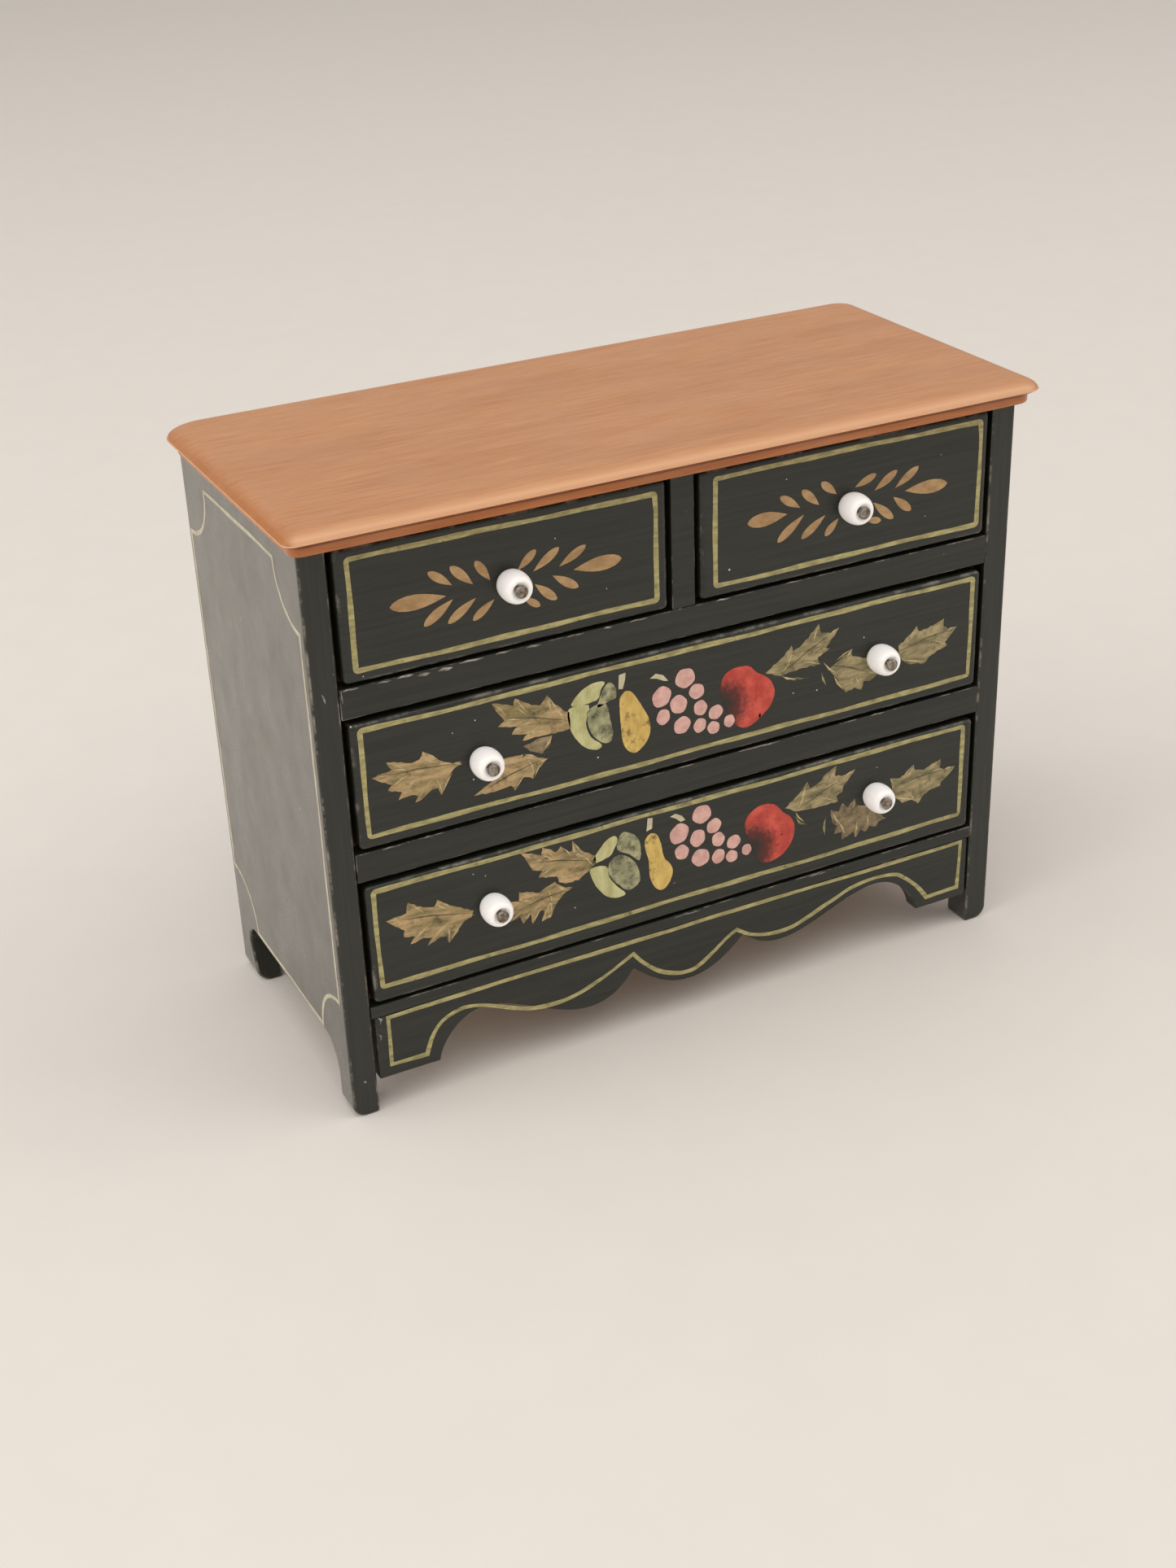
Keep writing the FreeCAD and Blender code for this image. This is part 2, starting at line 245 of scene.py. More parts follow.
def ease(piece, size, steps=2, angle=40):
    # rubs every sharp edge of a piece round and settles its shading
    bevel = piece.modifiers.new("eased", "BEVEL")
    bevel.width = size * mm
    bevel.segments = steps
    bevel.limit_method = "ANGLE"
    bevel.angle_limit = math.radians(angle)
    bpy.ops.object.modifier_apply(modifier=bevel.name)
    bpy.ops.object.shade_smooth_by_angle(angle=math.radians(60))
    flats = piece.modifiers.new("flats", "WEIGHTED_NORMAL")
    flats.keep_sharp = True
    bpy.ops.object.modifier_apply(modifier=flats.name)


def sawn_like(node, name):
    # a board fretted to the same outline as its part in the frame
    piece = bpy.data.objects.new(name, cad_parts[node].data.copy())
    piece.data.name = name
    piece.data.materials.clear()
    bpy.context.scene.collection.objects.link(piece)
    bpy.ops.object.select_all(action="DESELECT")
    piece.select_set(True)
    bpy.context.view_layer.objects.active = piece
    set_mode("EDIT")
    bpy.ops.mesh.select_all(action="SELECT")
    bpy.ops.mesh.remove_doubles(threshold=0.002 * mm)
    bpy.ops.mesh.customdata_custom_splitnormals_clear()
    bpy.ops.mesh.dissolve_limited(angle_limit=math.radians(0.5))
    set_mode("OBJECT")
    return piece


def fit(piece, material, body, slot, *nodes):
    # finishes a piece and puts it in the place of its part
    piece.data.materials.append(material)
    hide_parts(*nodes)
    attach(piece, body)


def past_brush(tree, start, ragged):
    # 1 behind an uneven line, start and ragged mm, where the paint gives out
    uneven = sums(tree, "MULTIPLY", grain(tree, (1.5, 1.5, 1.5), 3, 21.0), ragged * mm)
    return reach(tree, sums(tree, "SUBTRACT", placed(tree)[1], uneven), start * mm, (start + 0.2) * mm)


def inside_of_side(tree):
    across, _, up = placed(tree)
    inner = reach(tree, sums(tree, "ABSOLUTE", across), 39.08 * mm, 39.02 * mm)
    above = reach(tree, up, 12.9 * mm, 13.1 * mm)
    return sums(tree, "MULTIPLY", inner, sums(tree, "MULTIPLY", past_brush(tree, -15.6, 2.0), above))


side_paint = brushed_paint("side_paint", (0.5, 0.6, 16), 0, inside_of_side)
tree = side_paint.node_tree
side_shader = tree.nodes["Principled BSDF"]
side_shader.inputs["Coat IOR"].default_value = 1.6
side_shader.inputs["Coat Tint"].default_value = (1.0, 0.97, 0.93, 1)
glossy = reach(tree, sums(tree, "ABSOLUTE", facing(tree)[0]), 0.5, 0.95, 0.1, 1.0)
tree.links.new(glossy, side_shader.inputs["Coat Weight"])
rubbed = reach(tree, grain(tree, (5, 5, 8), 6, 14.2, 0.65), 0.35, 0.65, 0.24, 0.40)
tree.links.new(rubbed, side_shader.inputs["Coat Roughness"])
half_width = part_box("side_panel_right")[1].x
for hand in ("left", "right"):
    panel = sawn_like("side_panel_" + hand, "painted_side_" + hand)
    outer_foot = half_width / mm - 0.1
    pick_edges(panel, lambda end: end.z < 0.01 and abs(end.x) > outer_foot)
    round_picked(1.5, 6)
    ease(panel, 0.30, 3)
    fit(panel, side_paint, "carcass", "black_paint", "side_panel_" + hand)

# ----------------------------------------------------------
# Two full-depth shelves, the centre divider and the thin bottom board: plain boards butted
# and glued between the sides, bare wood, with only their front edges painted, so that the
# brush has run a little way in behind.
def settled(name):
    # names the shape just made and settles its place into its mesh
    piece = bpy.context.object
    piece.name = name
    piece.data.name = name
    bpy.ops.object.transform_apply(location=True, rotation=True, scale=True)
    return piece


def block(name, low, high):
    # plain squared stock, to be worked further
    bpy.ops.object.select_all(action="DESELECT")
    bpy.ops.mesh.primitive_cube_add(size=1, location=(low + high) / 2, scale=high - low)
    return settled(name)


def board(node, name, soft, steps=2, trim=0.0):
    # a board in the place of its part, trim mm smaller all round its face
    low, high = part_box(node)
    planed = Vector((trim, 0, trim)) * mm
    piece = block(name, low + planed, high - planed)
    ease(piece, soft, steps)
    return piece


rail_paint = brushed_paint("rail_paint", (12, 0.5, 0.5), None, lambda tree: past_brush(tree, -15.9, 2.4), 1.6)
for node in ("upper_shelf", "lower_shelf", "bottom_board", "centre_divider"):
    fit(board(node, node + "_painted_edge", 0.18), rail_paint, "carcass", "black_paint", node)

# ----------------------------------------------------------
# The back: one thin board let in between the sides and glued to the shelves, painted thinly
# on the outside, bare within.
def inner_face(tree):
    return reach(tree, placed(tree)[1], 18.15 * mm, 18.05 * mm)


back_paint = brushed_paint("back_paint", (18, 0.5, 0.6), None, inner_face)
fit(board("back_panel", "painted_back", 0.15), back_paint, "carcass", "black_paint", "back_panel")

# ----------------------------------------------------------
# The scalloped apron: one thin board fretted along its lower edge and glued up under the
# bottom board, painted like the rails.
apron_paint = brushed_paint("apron_paint", (12, 0.5, 0.5), 1)
apron = sawn_like("front_apron", "scalloped_apron")
ease(apron, 0.18, 2, 50)
fit(apron, apron_paint, "carcass", "black_paint", "front_apron")

# ----------------------------------------------------------
# The top: one board of honey-brown wood, grain from end to end, its upper edge worked to a
# low crown down to a rubbed lip, undercut below to a narrow band, corners knocked off by
# hand, wiped with a thin varnish and glued down on the carcass.
low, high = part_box("top_board")
CROWN_HIGH = 1.0
CROWN_WIDE = 2.3
CROWN_STEPS = 8
LIP_OUT = 0.85
LIP_HIGH = 0.60
LIP_SOFT = 0.10
band_low = low + Vector((LIP_OUT, LIP_OUT, 0)) * mm
band_high = high - Vector((LIP_OUT, LIP_OUT, CROWN_HIGH + LIP_HIGH)) * mm
top = block("moulded_top", band_low, band_high)
# each corner: which end, front or back, radius and steps
corners = [(band_low.x, band_high.y, 3.8, 8), (band_high.x, band_low.y, 2.2, 6),
           (band_high.x, band_high.y, 1.9, 6), (band_low.x, band_low.y, 1.2, 5)]
for x, y, radius, steps in corners:
    corner = Vector((x, y)) / mm
    pick_edges(top, lambda end: (end.xy - corner).length < 0.01)
    round_picked(radius, steps)


def pick_faces(piece, wanted):
    pick(piece, "FACE", "polygons", wanted)


pick_faces(top, lambda face: face.normal.z > 0.9)
crown = [(-LIP_OUT, LIP_HIGH), (LIP_SOFT, LIP_SOFT)]
turns = [math.radians(90 * i / CROWN_STEPS) for i in range(CROWN_STEPS + 1)]
for before, after in zip(turns, turns[1:]):
    crown.append(((CROWN_WIDE - LIP_SOFT) * (math.cos(before) - math.cos(after)),
                  (CROWN_HIGH - LIP_SOFT) * (math.sin(after) - math.sin(before))))
wide, deep = (band_high.x - band_low.x) / mm, (band_high.y - band_low.y) / mm
for step_in, step_up in crown:
    bpy.ops.mesh.extrude_region_move(TRANSFORM_OT_translate={"value": (0, 0, step_up * mm)})
    bpy.ops.transform.resize(value=((wide - 2 * step_in) / wide, (deep - 2 * step_in) / deep, 1),
                             center_override=((low + high) / 2))
    wide -= 2 * step_in
    deep -= 2 * step_in
set_mode("OBJECT")
pick_edges(top, lambda end: end.z < low.z / mm + 0.01)
round_picked(0.2, 2)
bpy.ops.object.shade_smooth_by_angle(angle=math.radians(34))

HONEY = tone(201, 145, 103)
HONEY_DEEP = tone(182, 124, 81)
HONEY_DARK = tone(140, 84, 48)
HONEY_CLOUDY = tone(188, 138, 104)


def varnished_wood(name, light, deep, dark, front=None, shaded_ends=None):
    # front: a painted highlight, the colour lightened where the board faces forward; shaded_ends: painted
    # shade, the colour darkened where the board faces out to its ends
    finish, tree, shader = new_finish(name, IOR=1.48)
    figure = grain(tree, (30, 4.5, 4.5), 4, 4.4)
    clouds = grain(tree, (9, 5, 5), 5, 9.4, 0.6)
    fibres = grain(tree, (7, 0.5, 0.5), 5, 1.0, 0.62)
    pores = grain(tree, (2.2, 0.16, 0.16), 3, 8.8, 0.7)
    colour = mix(tree, reach(tree, fibres, 0.30, 0.70), deep, light)
    colour = mix(tree, reach(tree, figure, 0.46, 0.70, 0, 0.22), colour, dark)
    colour = mix(tree, reach(tree, clouds, 0.42, 0.66, 0, 0.32), colour, HONEY_CLOUDY)
    colour = mix(tree, reach(tree, pores, 0.58, 0.74, 0, 0.32), colour, dark)
    if front is not None:
        # painted highlight: lighter where the surface faces forward
        colour = mix(tree, reach(tree, facing(tree)[1], -0.10, -0.55, 0, 0.85), colour, front)
    if shaded_ends is not None:
        # painted shade: darker orange, in patches, where the surface faces out to either end
        outward = reach(tree, sums(tree, "ABSOLUTE", facing(tree)[0]), 0.12, 0.60)
        patchy = reach(tree, clouds, 0.3, 0.6, 0.45, 1.0)
        colour = mix(tree, sums(tree, "MULTIPLY", outward, patchy), colour, shaded_ends)
    dress(tree, shader, colour, reach(tree, grain(tree, (5, 2, 2), 4, 6.0), 0.3, 0.7, 0.34, 0.48))
    bumps(tree, shader, sums(tree, "ADD", fibres, pores), 0.03, 0.6)
    return finish


# the top's varnish, with a painted highlight on its front and painted shade on its ends
honey = varnished_wood("honey_varnish", HONEY, HONEY_DEEP, HONEY_DARK,
                       front=tone(220, 168, 128), shaded_ends=tone(172, 108, 58))
# lit and shaded copies of the top's varnish: a paler lip, partly rubbed varnish and partly painted highlight;
# a darker band and a darkest undercut, painted shade
honey_worn_lit_lip = varnished_wood("honey_worn_lit_lip", tone(222, 172, 130), tone(204, 148, 104), HONEY_DEEP)
honey_shaded_band = varnished_wood("honey_shaded_band", tone(192, 112, 46), tone(162, 88, 32), tone(120, 60, 24))
undercut_shade_wood = varnished_wood("honey_undercut_shade", tone(124, 62, 30), tone(96, 46, 22), tone(70, 34, 16))
fit(top, honey, "carcass", "honey_wood", "top_board")
for finish in (honey_worn_lit_lip, honey_shaded_band, undercut_shade_wood):
    top.data.materials.append(finish)
for finish in (honey_shaded_band, undercut_shade_wood):
    coat = finish.node_tree.nodes["Principled BSDF"].inputs
    coat["Coat Weight"].default_value = 0.4
    coat["Coat Roughness"].default_value = 0.3
WORN_LIT_LIP, SHADED_BAND, SHADED_UNDERCUT = 1, 2, 3
lip = high.z / mm - CROWN_HIGH
# faces sorted by height into the painted highlight of the lip, the painted shade of the band and the deeper
# painted shade of the undercut
for face in top.data.polygons:
    height = face.center.z / mm
    if lip < height < lip + LIP_SOFT:
        face.material_index = WORN_LIT_LIP
    elif height < lip - LIP_HIGH:
        face.material_index = SHADED_BAND
    elif height < lip:
        face.material_index = SHADED_UNDERCUT

# ----------------------------------------------------------
# Four drawers, each a painted front of solid wood with two sides, a back and a bottom of
# thin bare board glued behind it. They run on the shelves with nothing to hold them in.
BARE_CLOUDY = tone(158, 118, 78)


def raw_wood(name, light, dark, along):
    finish, tree, shader = new_finish(name, IOR=1.4)
    fibres = grain(tree, along, 5, 2.5, 0.62)
    cloudy = grain(tree, (7, 7, 7), 3, 5.5)
    colour = mix(tree, reach(tree, fibres, 0.3, 0.7), dark, light)
    colour = mix(tree, reach(tree, cloudy, 0.5, 0.8, 0, 0.35), colour, BARE_CLOUDY)
    dress(tree, shader, colour, reach(tree, cloudy, 0.3, 0.7, 0.66, 0.8))
    bumps(tree, shader, fibres, 0.05, 0.8)
    return finish


raw_length = raw_wood("bare_wood_length", tone(205, 170, 128), tone(178, 140, 100), (0.4, 11, 0.4))
raw_cross = raw_wood("bare_wood_cross", tone(201, 166, 124), tone(174, 136, 96), (11, 0.4, 0.4))


def behind_drawer_front(tree):
    return reach(tree, placed(tree)[1], -14.75 * mm, -14.62 * mm)


front_paint = brushed_paint("front_paint", (14, 0.5, 0.45), None, behind_drawer_front, 0.85)
for drawer in ("left", "right", "middle", "bottom"):
    body = drawer + "_drawer"
    front = board(body + "_front", body + "_painted_front", 0.62, 5, 0.10)
    fit(front, front_paint, body, "black_paint", body + "_front")
    for part, finish in (("side_left", raw_length), ("side_right", raw_length), ("back", raw_cross),
                         ("bottom", raw_cross)):
        node = body + "_" + part
        fit(board(node, node + "_board", 0.14), finish, body, "bare_wood", node)

# ----------------------------------------------------------
# Six knobs: a fat white glass bead held to the drawer front by a small steel pin through
# its hole and driven into the wood. The heads have gone dull and brown.
# the white glass is given a faint glow of its own, painted light, besides its colour
glowing_bead_glass, tree, shader = new_finish("white_glass", Roughness=0.22, IOR=1.5, Subsurface_Weight=0.5,
                                      Subsurface_Scale=0.6 * mm, Emission_Strength=0.14)
shader.inputs["Subsurface Radius"].default_value = (1.0, 0.95, 0.9)
shader.inputs["Emission Color"].default_value = tone(255, 250, 244)
clouds = mix(tree, grain(tree, (1.2, 1.2, 1.2), 3), tone(252, 248, 242), tone(255, 253, 250))
dress(tree, shader, clouds)
bumps(tree, shader, grain(tree, (0.9, 0.9, 0.9), 2, 3.0), 0.02, 0.5)
pin_steel, tree, shader = new_finish("pin_steel", Metallic=0.75, IOR=1.5)
tarnish = grain(tree, (0.5, 0.5, 0.5), 4, 1.5)
dress(tree, shader, mix(tree, reach(tree, tarnish, 0.35, 0.65), tone(96, 84, 72), tone(168, 158, 146)),
      reach(tree, tarnish, 0.3, 0.7, 0.5, 0.32))
bumps(tree, shader, tarnish, 0.03, 0.8)


FRONT_TURN = (math.radians(90), 0, 0)
BORE = 0.45 * mm
SHANK = 0.35 * mm
HEAD_HIGH = 0.42 * mm
HEAD_RINGS = [(1.0, 0.24), (0.86, 0.10), (0.55, 0.06)]  # each: how wide against the last, mm further out


def sealed(gap):
    # merges what meets and turns every face outwards
    set_mode("EDIT")
    bpy.ops.mesh.select_all(action="SELECT")
    bpy.ops.mesh.remove_doubles(threshold=gap * mm)
    bpy.ops.mesh.normals_make_consistent(inside=False)
    set_mode("OBJECT")


def glass_bead(name, low, high):
    middle = (low + high) / 2
    outer = (high.x - low.x) / 2
    wall = (outer - BORE) / 2
    ring = middle + Vector((outer - wall, 0, 0))
    bpy.ops.object.select_all(action="DESELECT")
    bpy.ops.mesh.primitive_circle_add(vertices=22, radius=wall, location=ring)
    piece = settled(name)
    set_mode("EDIT")
    bpy.ops.mesh.select_all(action="SELECT")
    bpy.ops.transform.resize(value=(1, (high.y - low.y) / 2 / wall, 1), center_override=ring)
    bpy.ops.mesh.spin(steps=40, angle=math.tau, center=middle, axis=(0, 1, 0))
    sealed(0.002)
    bpy.ops.object.shade_smooth()
    return piece


def driven_pin(name, low, high):
    middle = (low + high) / 2
    face = low.y + HEAD_HIGH
    bpy.ops.object.select_all(action="DESELECT")
    bpy.ops.mesh.primitive_cylinder_add(vertices=20, radius=SHANK, depth=high.y - face,
                                        location=(middle.x, (high.y + face) / 2, middle.z),
                                        rotation=FRONT_TURN)
    piece = settled(name)
    pick_faces(piece, lambda side: side.normal.y < -0.9)
    for wider, out in [((high.x - low.x) / 2 / SHANK, 0.0)] + HEAD_RINGS:
        bpy.ops.mesh.extrude_region_move(TRANSFORM_OT_translate={"value": (0, -out * mm, 0)})
        bpy.ops.transform.resize(value=(wider, 1, wider), center_override=(middle.x, face, middle.z))
    set_mode("OBJECT")
    pick_faces(piece, lambda side: side.normal.y > 0.9 and side.center.y > high.y - 0.01 * mm)
    bpy.ops.mesh.extrude_region_move(TRANSFORM_OT_translate={"value": (0, 0, 0)})
    bpy.ops.transform.resize(value=(0.3, 1, 0.3), center_override=(middle.x, high.y, middle.z))
    set_mode("OBJECT")
    bpy.ops.object.shade_smooth_by_angle(angle=math.radians(50))
    return piece


for side in ("left", "right", "middle_left", "middle_right", "bottom_left", "bottom_right"):
    knob = side + "_knob"
    body = side.split("_")[0] + "_drawer"
    bead = glass_bead(knob + "_glass_bead", *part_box(knob + "_bead"))
    fit(bead, glowing_bead_glass, body, "white_glass", knob + "_bead")
    pin = driven_pin(knob + "_driven_pin", *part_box(knob + "_pin"))
    fit(pin, pin_steel, body, "pin_steel", knob + "_pin")

# ----------------------------------------------------------
# The yellow lines: one thin line of thick dull yellow paint run by hand with a fine brush
# round each drawer front and round the apron, following its scallops.
FILM_PROUD = 0.0275


def paint_film(name, shapes, place, turned, body, material, proud=FILM_PROUD):
    # shapes: each a list of closed outlines in mm, holes after the outer one; the film stands
    # proud of the wood and is sunk as far into it
    made = []
    for rings in shapes:
        outline = bpy.data.curves.new(name, "CURVE")
        outline.dimensions = "2D"
        outline.fill_mode = "BOTH"
        outline.extrude = proud
        for ring in rings:
            line = outline.splines.new("POLY")
            line.points.add(len(ring) - 1)
            for point, (across, up) in zip(line.points, ring):
                point.co = (across, up, 0, 1)
            line.use_cyclic_u = True
        patch = bpy.data.objects.new(name, outline)
        bpy.context.scene.collection.objects.link(patch)
        patch.location = place
        patch.rotation_euler = turned
        patch.scale = (mm, mm, mm)
        made.append(patch)
    bpy.ops.object.select_all(action="DESELECT")
    for patch in made:
        patch.select_set(True)
    bpy.context.view_layer.objects.active = made[0]
    bpy.ops.object.convert(target="MESH")
    if len(made) > 1:
        bpy.ops.object.join()
    piece = settled(name)
    sealed(0.0005)
    piece.data.materials.clear()
    piece.data.materials.append(material)
    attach(piece, body)


def smooth(points, steps=5):
    # an easy curve through the points of a closed line; a point given twice is a corner
    line = []
    count = len(points)
    for i in range(count):
        p0, p1, p2, p3 = (Vector(points[(i + k) % count]) for k in (-1, 0, 1, 2))
        if (p2 - p1).length < 1e-6:
            continue
        for k in range(steps):
            t = k / steps
            line.append(0.5 * (2 * p1 + (p2 - p0) * t + (2 * p0 - 5 * p1 + 4 * p2 - p3) * t * t
                               + (3 * p1 - p0 - 3 * p2 + p3) * t ** 3))
    return line


def brush_line(path, width, uneven=0.10, phase=0.0):
    # the two edges of a hand-drawn line that closes on itself
    outer = []
    inner = []
    count = len(path)
    run = 0.0
    for i in range(count):
        before, here, after = Vector(path[i - 1]), Vector(path[i]), Vector(path[(i + 1) % count])
        run += (here - before).length
        first = (here - before).normalized()
        second = (after - here).normalized()
        along = (first + second).normalized()
        across = Vector((-along.y, along.x)) / max(0.6, along.dot(first))
        sway = 0.05 * math.sin(run / 5.3 + phase) + 0.03 * math.sin(run / 1.9 + 2 * phase)
        half = width / 2 * (1 + uneven * math.sin(run / 3.1 + phase) + 0.6 * uneven * math.sin(run / 0.9))
        outer.append(here + across * (sway + half))
        inner.append(here + across * (sway - half))
    return [outer, inner]


def arc(middle, radius, start, step):
    # a quarter circle of points from the angle start, in degrees
    turns = [math.radians(start + a) for a in range(0, 91, step)]
    return [middle + radius * Vector((math.cos(turn), math.sin(turn))) for turn in turns]


def framed(left, right, bottom, above, round_by=0.3, step=1.4):
    # the path of a line round a front, its corners barely rounded
    path = []
    corners = []
    for x, z, start in ((right, above, 0), (left, above, 90), (left, bottom, 180), (right, bottom, 270)):
        middle = Vector((x - math.copysign(round_by, x - (left + right) / 2),
                         z - math.copysign(round_by, z - (above + bottom) / 2)))
        corners.append(arc(middle, round_by, start, 30))
    for i, corner in enumerate(corners):
        path += corner
        gap = corners[(i + 1) % 4][0] - corner[-1]
        pieces = max(2, int(gap.length / step))
        path += [corner[-1] + gap * k / pieces for k in range(1, pieces)]
    return path


BLACK_GROUND = tone(40, 42, 36)


def thin_paint(name, light, dark, streaks, thin=(0.66, 0.8), ground=BLACK_GROUND, hollow=None):
    # hand-brushed colour: light and dark strokes, thin spots where the ground shows, and where
    # hollow gives its middle in mm, a soft round patch that goes through HOLLOW_RED to the ground
    finish, tree, shader = new_finish(name, Roughness=0.5, IOR=1.45)
    strokes = grain(tree, streaks, 4, 0.7)
    colour = mix(tree, reach(tree, strokes, 0.34, 0.66), tone(*dark), tone(*light))
    lean = reach(tree, grain(tree, (1.1, 1.1, 1.1), 5, 6.1, 0.65), thin[0], thin[1], 0, 0.85)
    colour = mix(tree, lean, colour, ground)
    if hollow is not None:
        centred = [-value / HOLLOW_RADIUS for value in hollow]
        scale = [1 / (HOLLOW_RADIUS * mm)] * 3
        place = add(tree, "TexCoord").outputs["Object"]
        moved = add(tree, "Mapping", {"Vector": place, "Location": centred, "Scale": scale})
        ball = add(tree, "TexGradient", {0: moved.outputs[0]}, gradient_type="SPHERICAL").outputs["Fac"]
        dry = reach(tree, grain(tree, (0.5, 0.5, 0.5), 5, 3.3, 0.7), 0.3, 0.7, -0.16, 0.16)
        share = sums(tree, "ADD", ball, dry)
        colour = mix(tree, reach(tree, share, 0.02, 0.41), colour, HOLLOW_RED)
        colour = mix(tree, reach(tree, share, 0.41, 0.80), colour, ground)
    dress(tree, shader, colour)
    bumps(tree, shader, strokes, 0.03, 0.8)
    return finish


def on_front(body, word, shapes, material, proud=FILM_PROUD):
    # painted on a drawer's front, in the place where it is seen when the drawer is shut
    paint_film(body + "_" + word, shapes, front_face, FRONT_TURN, body, material, proud)


line_yellow = thin_paint("line_yellow", (186, 176, 122), (142, 134, 90), (1.6, 0.5, 0.5), (0.58, 0.80))
front_face = Vector((-0.2 * mm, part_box("middle_drawer_front")[0].y, 0.22 * mm))
rail_face = Vector((0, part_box("front_apron")[0].y, 0.2 * mm))
lines = {"left_drawer": (-36.9, -3.15, 52.6, 64.4), "right_drawer": (3.9, 37.5, 52.6, 64.6),
         "middle_drawer": (-37.1, 37.5, 33.9, 46.05), "bottom_drawer": (-37.3, 37.2, 15.6, 27.4)}
for phase, (body, sides) in enumerate(lines.items()):
    on_front(body, "yellow_line", [brush_line(framed(*sides), 0.54, 0.12, phase)], line_yellow)

scallops = [
    (-33, 5.3), (-33, 5.3), (-32.2, 7.4), (-31, 8.9), (-29.4, 9.6), (-28, 9.8), (-26, 9.4), (-24, 8.6),
    (-22, 7.7), (-20, 7), (-18, 6.7), (-16, 6.7), (-14, 7.1), (-12, 7.8), (-10, 8.6), (-7.3, 9.9),
    (-7.3, 9.9), (-6, 8.3), (-4, 6.6), (-2, 5.7), (-0.5, 5.4), (1, 5.6), (3, 6.8), (5, 8.3), (6.3, 9),
    (6.3, 9), (8, 7.9), (10, 7.2), (12, 6.9), (14, 7), (16, 7.6), (18, 8.4), (20, 9.1), (22, 9.8),
    (25, 10.1), (28, 9.8), (29.5, 9), (31.5, 7.2), (33, 5.2), (33, 5.2), (37.4, 5.3), (37.4, 5.3),
    (37.6, 11.5), (37.6, 11.5), (12, 11.6), (-12, 11.65), (-37.2, 11.55), (-37.2, 11.55), (-37.2, 5.4),
    (-37.2, 5.4),
]
paint_film("apron_yellow_line", [brush_line(smooth(scallops), 0.48, 0.12, 2.0)],
           rail_face, FRONT_TURN, "carcass", line_yellow)

# ----------------------------------------------------------
# The side lines: a finer, paler line on each side, its corners turned in as quarter
# circles in the old way.
line_pale = thin_paint("line_pale", (205, 198, 176), (178, 170, 146), (0.5, 0.5, 1.6))
FRONT_Y, BACK_Y, LOW_Z, HIGH_Z = -15.6, 18.6, 8.2, 63.5
path = []
for y, z, radius, start in ((FRONT_Y, HIGH_Z, 6.1, 270), (BACK_Y, HIGH_Z, 6.6, 180),
                            (BACK_Y, LOW_Z, 6.4, 90), (FRONT_Y, LOW_Z, 6.4, 0)):
    path += arc(Vector((y, z)), radius, start, 10)


def along_gaps(path, step=1.4):
    # fills the straight runs between the corners with points
    full = []
    for here, after in zip(path, path[1:] + path[:1]):
        full.append(here)
        pieces = int((after - here).length / step)
        full += [here + (after - here) * k / pieces for k in range(1, pieces)]
    return full


path = along_gaps(path)
left_path = [Vector((-point.x, point.y)) for point in path]
for hand, side, line, phase in (("left", -1, left_path, 1.0), ("right", 1, path, 2.5)):
    paint_film(hand + "_side_line", [brush_line(line, 0.45, 0.12, phase)], Vector((side * half_width, 0, 0)),
               (math.radians(90), 0, math.radians(90 * side)), "carcass", line_pale)

# ----------------------------------------------------------
# The leaf sprays on the two top drawers: single strokes of tan paint laid down with a
# pointed brush on either side of the knob.
leaf_tan = thin_paint("leaf_tan", (186, 152, 108), (158, 124, 84), (1.4, 0.7, 0.7), (0.7, 0.85))


def petal(blunt, point, width):
    # one stroke from its blunt end to its point
    blunt = Vector(blunt)
    along = Vector(point) - blunt
    across = Vector((-along.y, along.x)).normalized() * width / 2
    outline = []
    shares = [0.0, 0.06, 0.16, 0.3, 0.45, 0.6, 0.75, 0.88, 1.0]
    swells = [0.0, 0.45, 0.78, 0.97, 1.0, 0.86, 0.6, 0.3, 0.0]
    for share, swell in zip(shares, swells):
        outline.append(blunt + along * share + across * swell)
    for share, swell in list(zip(shares, swells))[-2:0:-1]:
        outline.append(blunt + along * share - across * swell * 0.95)
    return outline


left_spray = [
    ((-32.85, 58.5), (-26.8, 58.4), 1.7), ((-28.6, 61.3), (-26.1, 59.4), 0.95),
    ((-26.2, 61.4), (-23.85, 59), 1.05), ((-23.5, 61.4), (-21.95, 59), 0.95),
    ((-29.4, 55.7), (-26.1, 57.9), 1.1), ((-26.8, 55.4), (-23.6, 57.5), 1),
    ((-24.1, 55.1), (-21.6, 56.9), 0.9), ((-16.8, 61.2), (-18.9, 59.4), 0.95),
    ((-14.2, 60.9), (-17.2, 58.9), 1), ((-11.2, 60.5), (-14.3, 58.8), 0.95),
    ((-7.15, 58.2), (-12.7, 58.1), 1.65), ((-16.6, 55), (-18.4, 56.3), 0.8),
    ((-14.7, 55.3), (-17.1, 57.5), 1), ((-12.2, 56.1), (-15.1, 58), 1),
]
right_spray = [
    ((7.8, 58.8), (12.7, 58.9), 1.6), ((11.8, 61), (14.3, 59.3), 0.95), ((14.5, 61.2), (16.7, 59.1), 1),
    ((16.9, 61.6), (18.9, 59.9), 0.95), ((11.5, 55.9), (14.8, 58.4), 1.05),
    ((14.5, 55.7), (17.5, 57.8), 1), ((17.5, 55.4), (19.2, 57.1), 0.9), ((23.9, 61.2), (21.2, 60.2), 0.9),
    ((26.6, 61.1), (23.7, 59.3), 1), ((29.4, 61), (26.4, 59.1), 1), ((33.3, 58.3), (27.7, 58.5), 1.6),
    ((24.7, 55.7), (22.7, 56.2), 0.8), ((26.3, 55.6), (23.6, 58), 1), ((28.6, 56.1), (26.2, 58.1), 1),
]
on_front("left_drawer", "leaf_spray", [[petal(*one)] for one in left_spray], leaf_tan)
on_front("right_drawer", "leaf_spray", [[petal(*one)] for one in right_spray], leaf_tan)

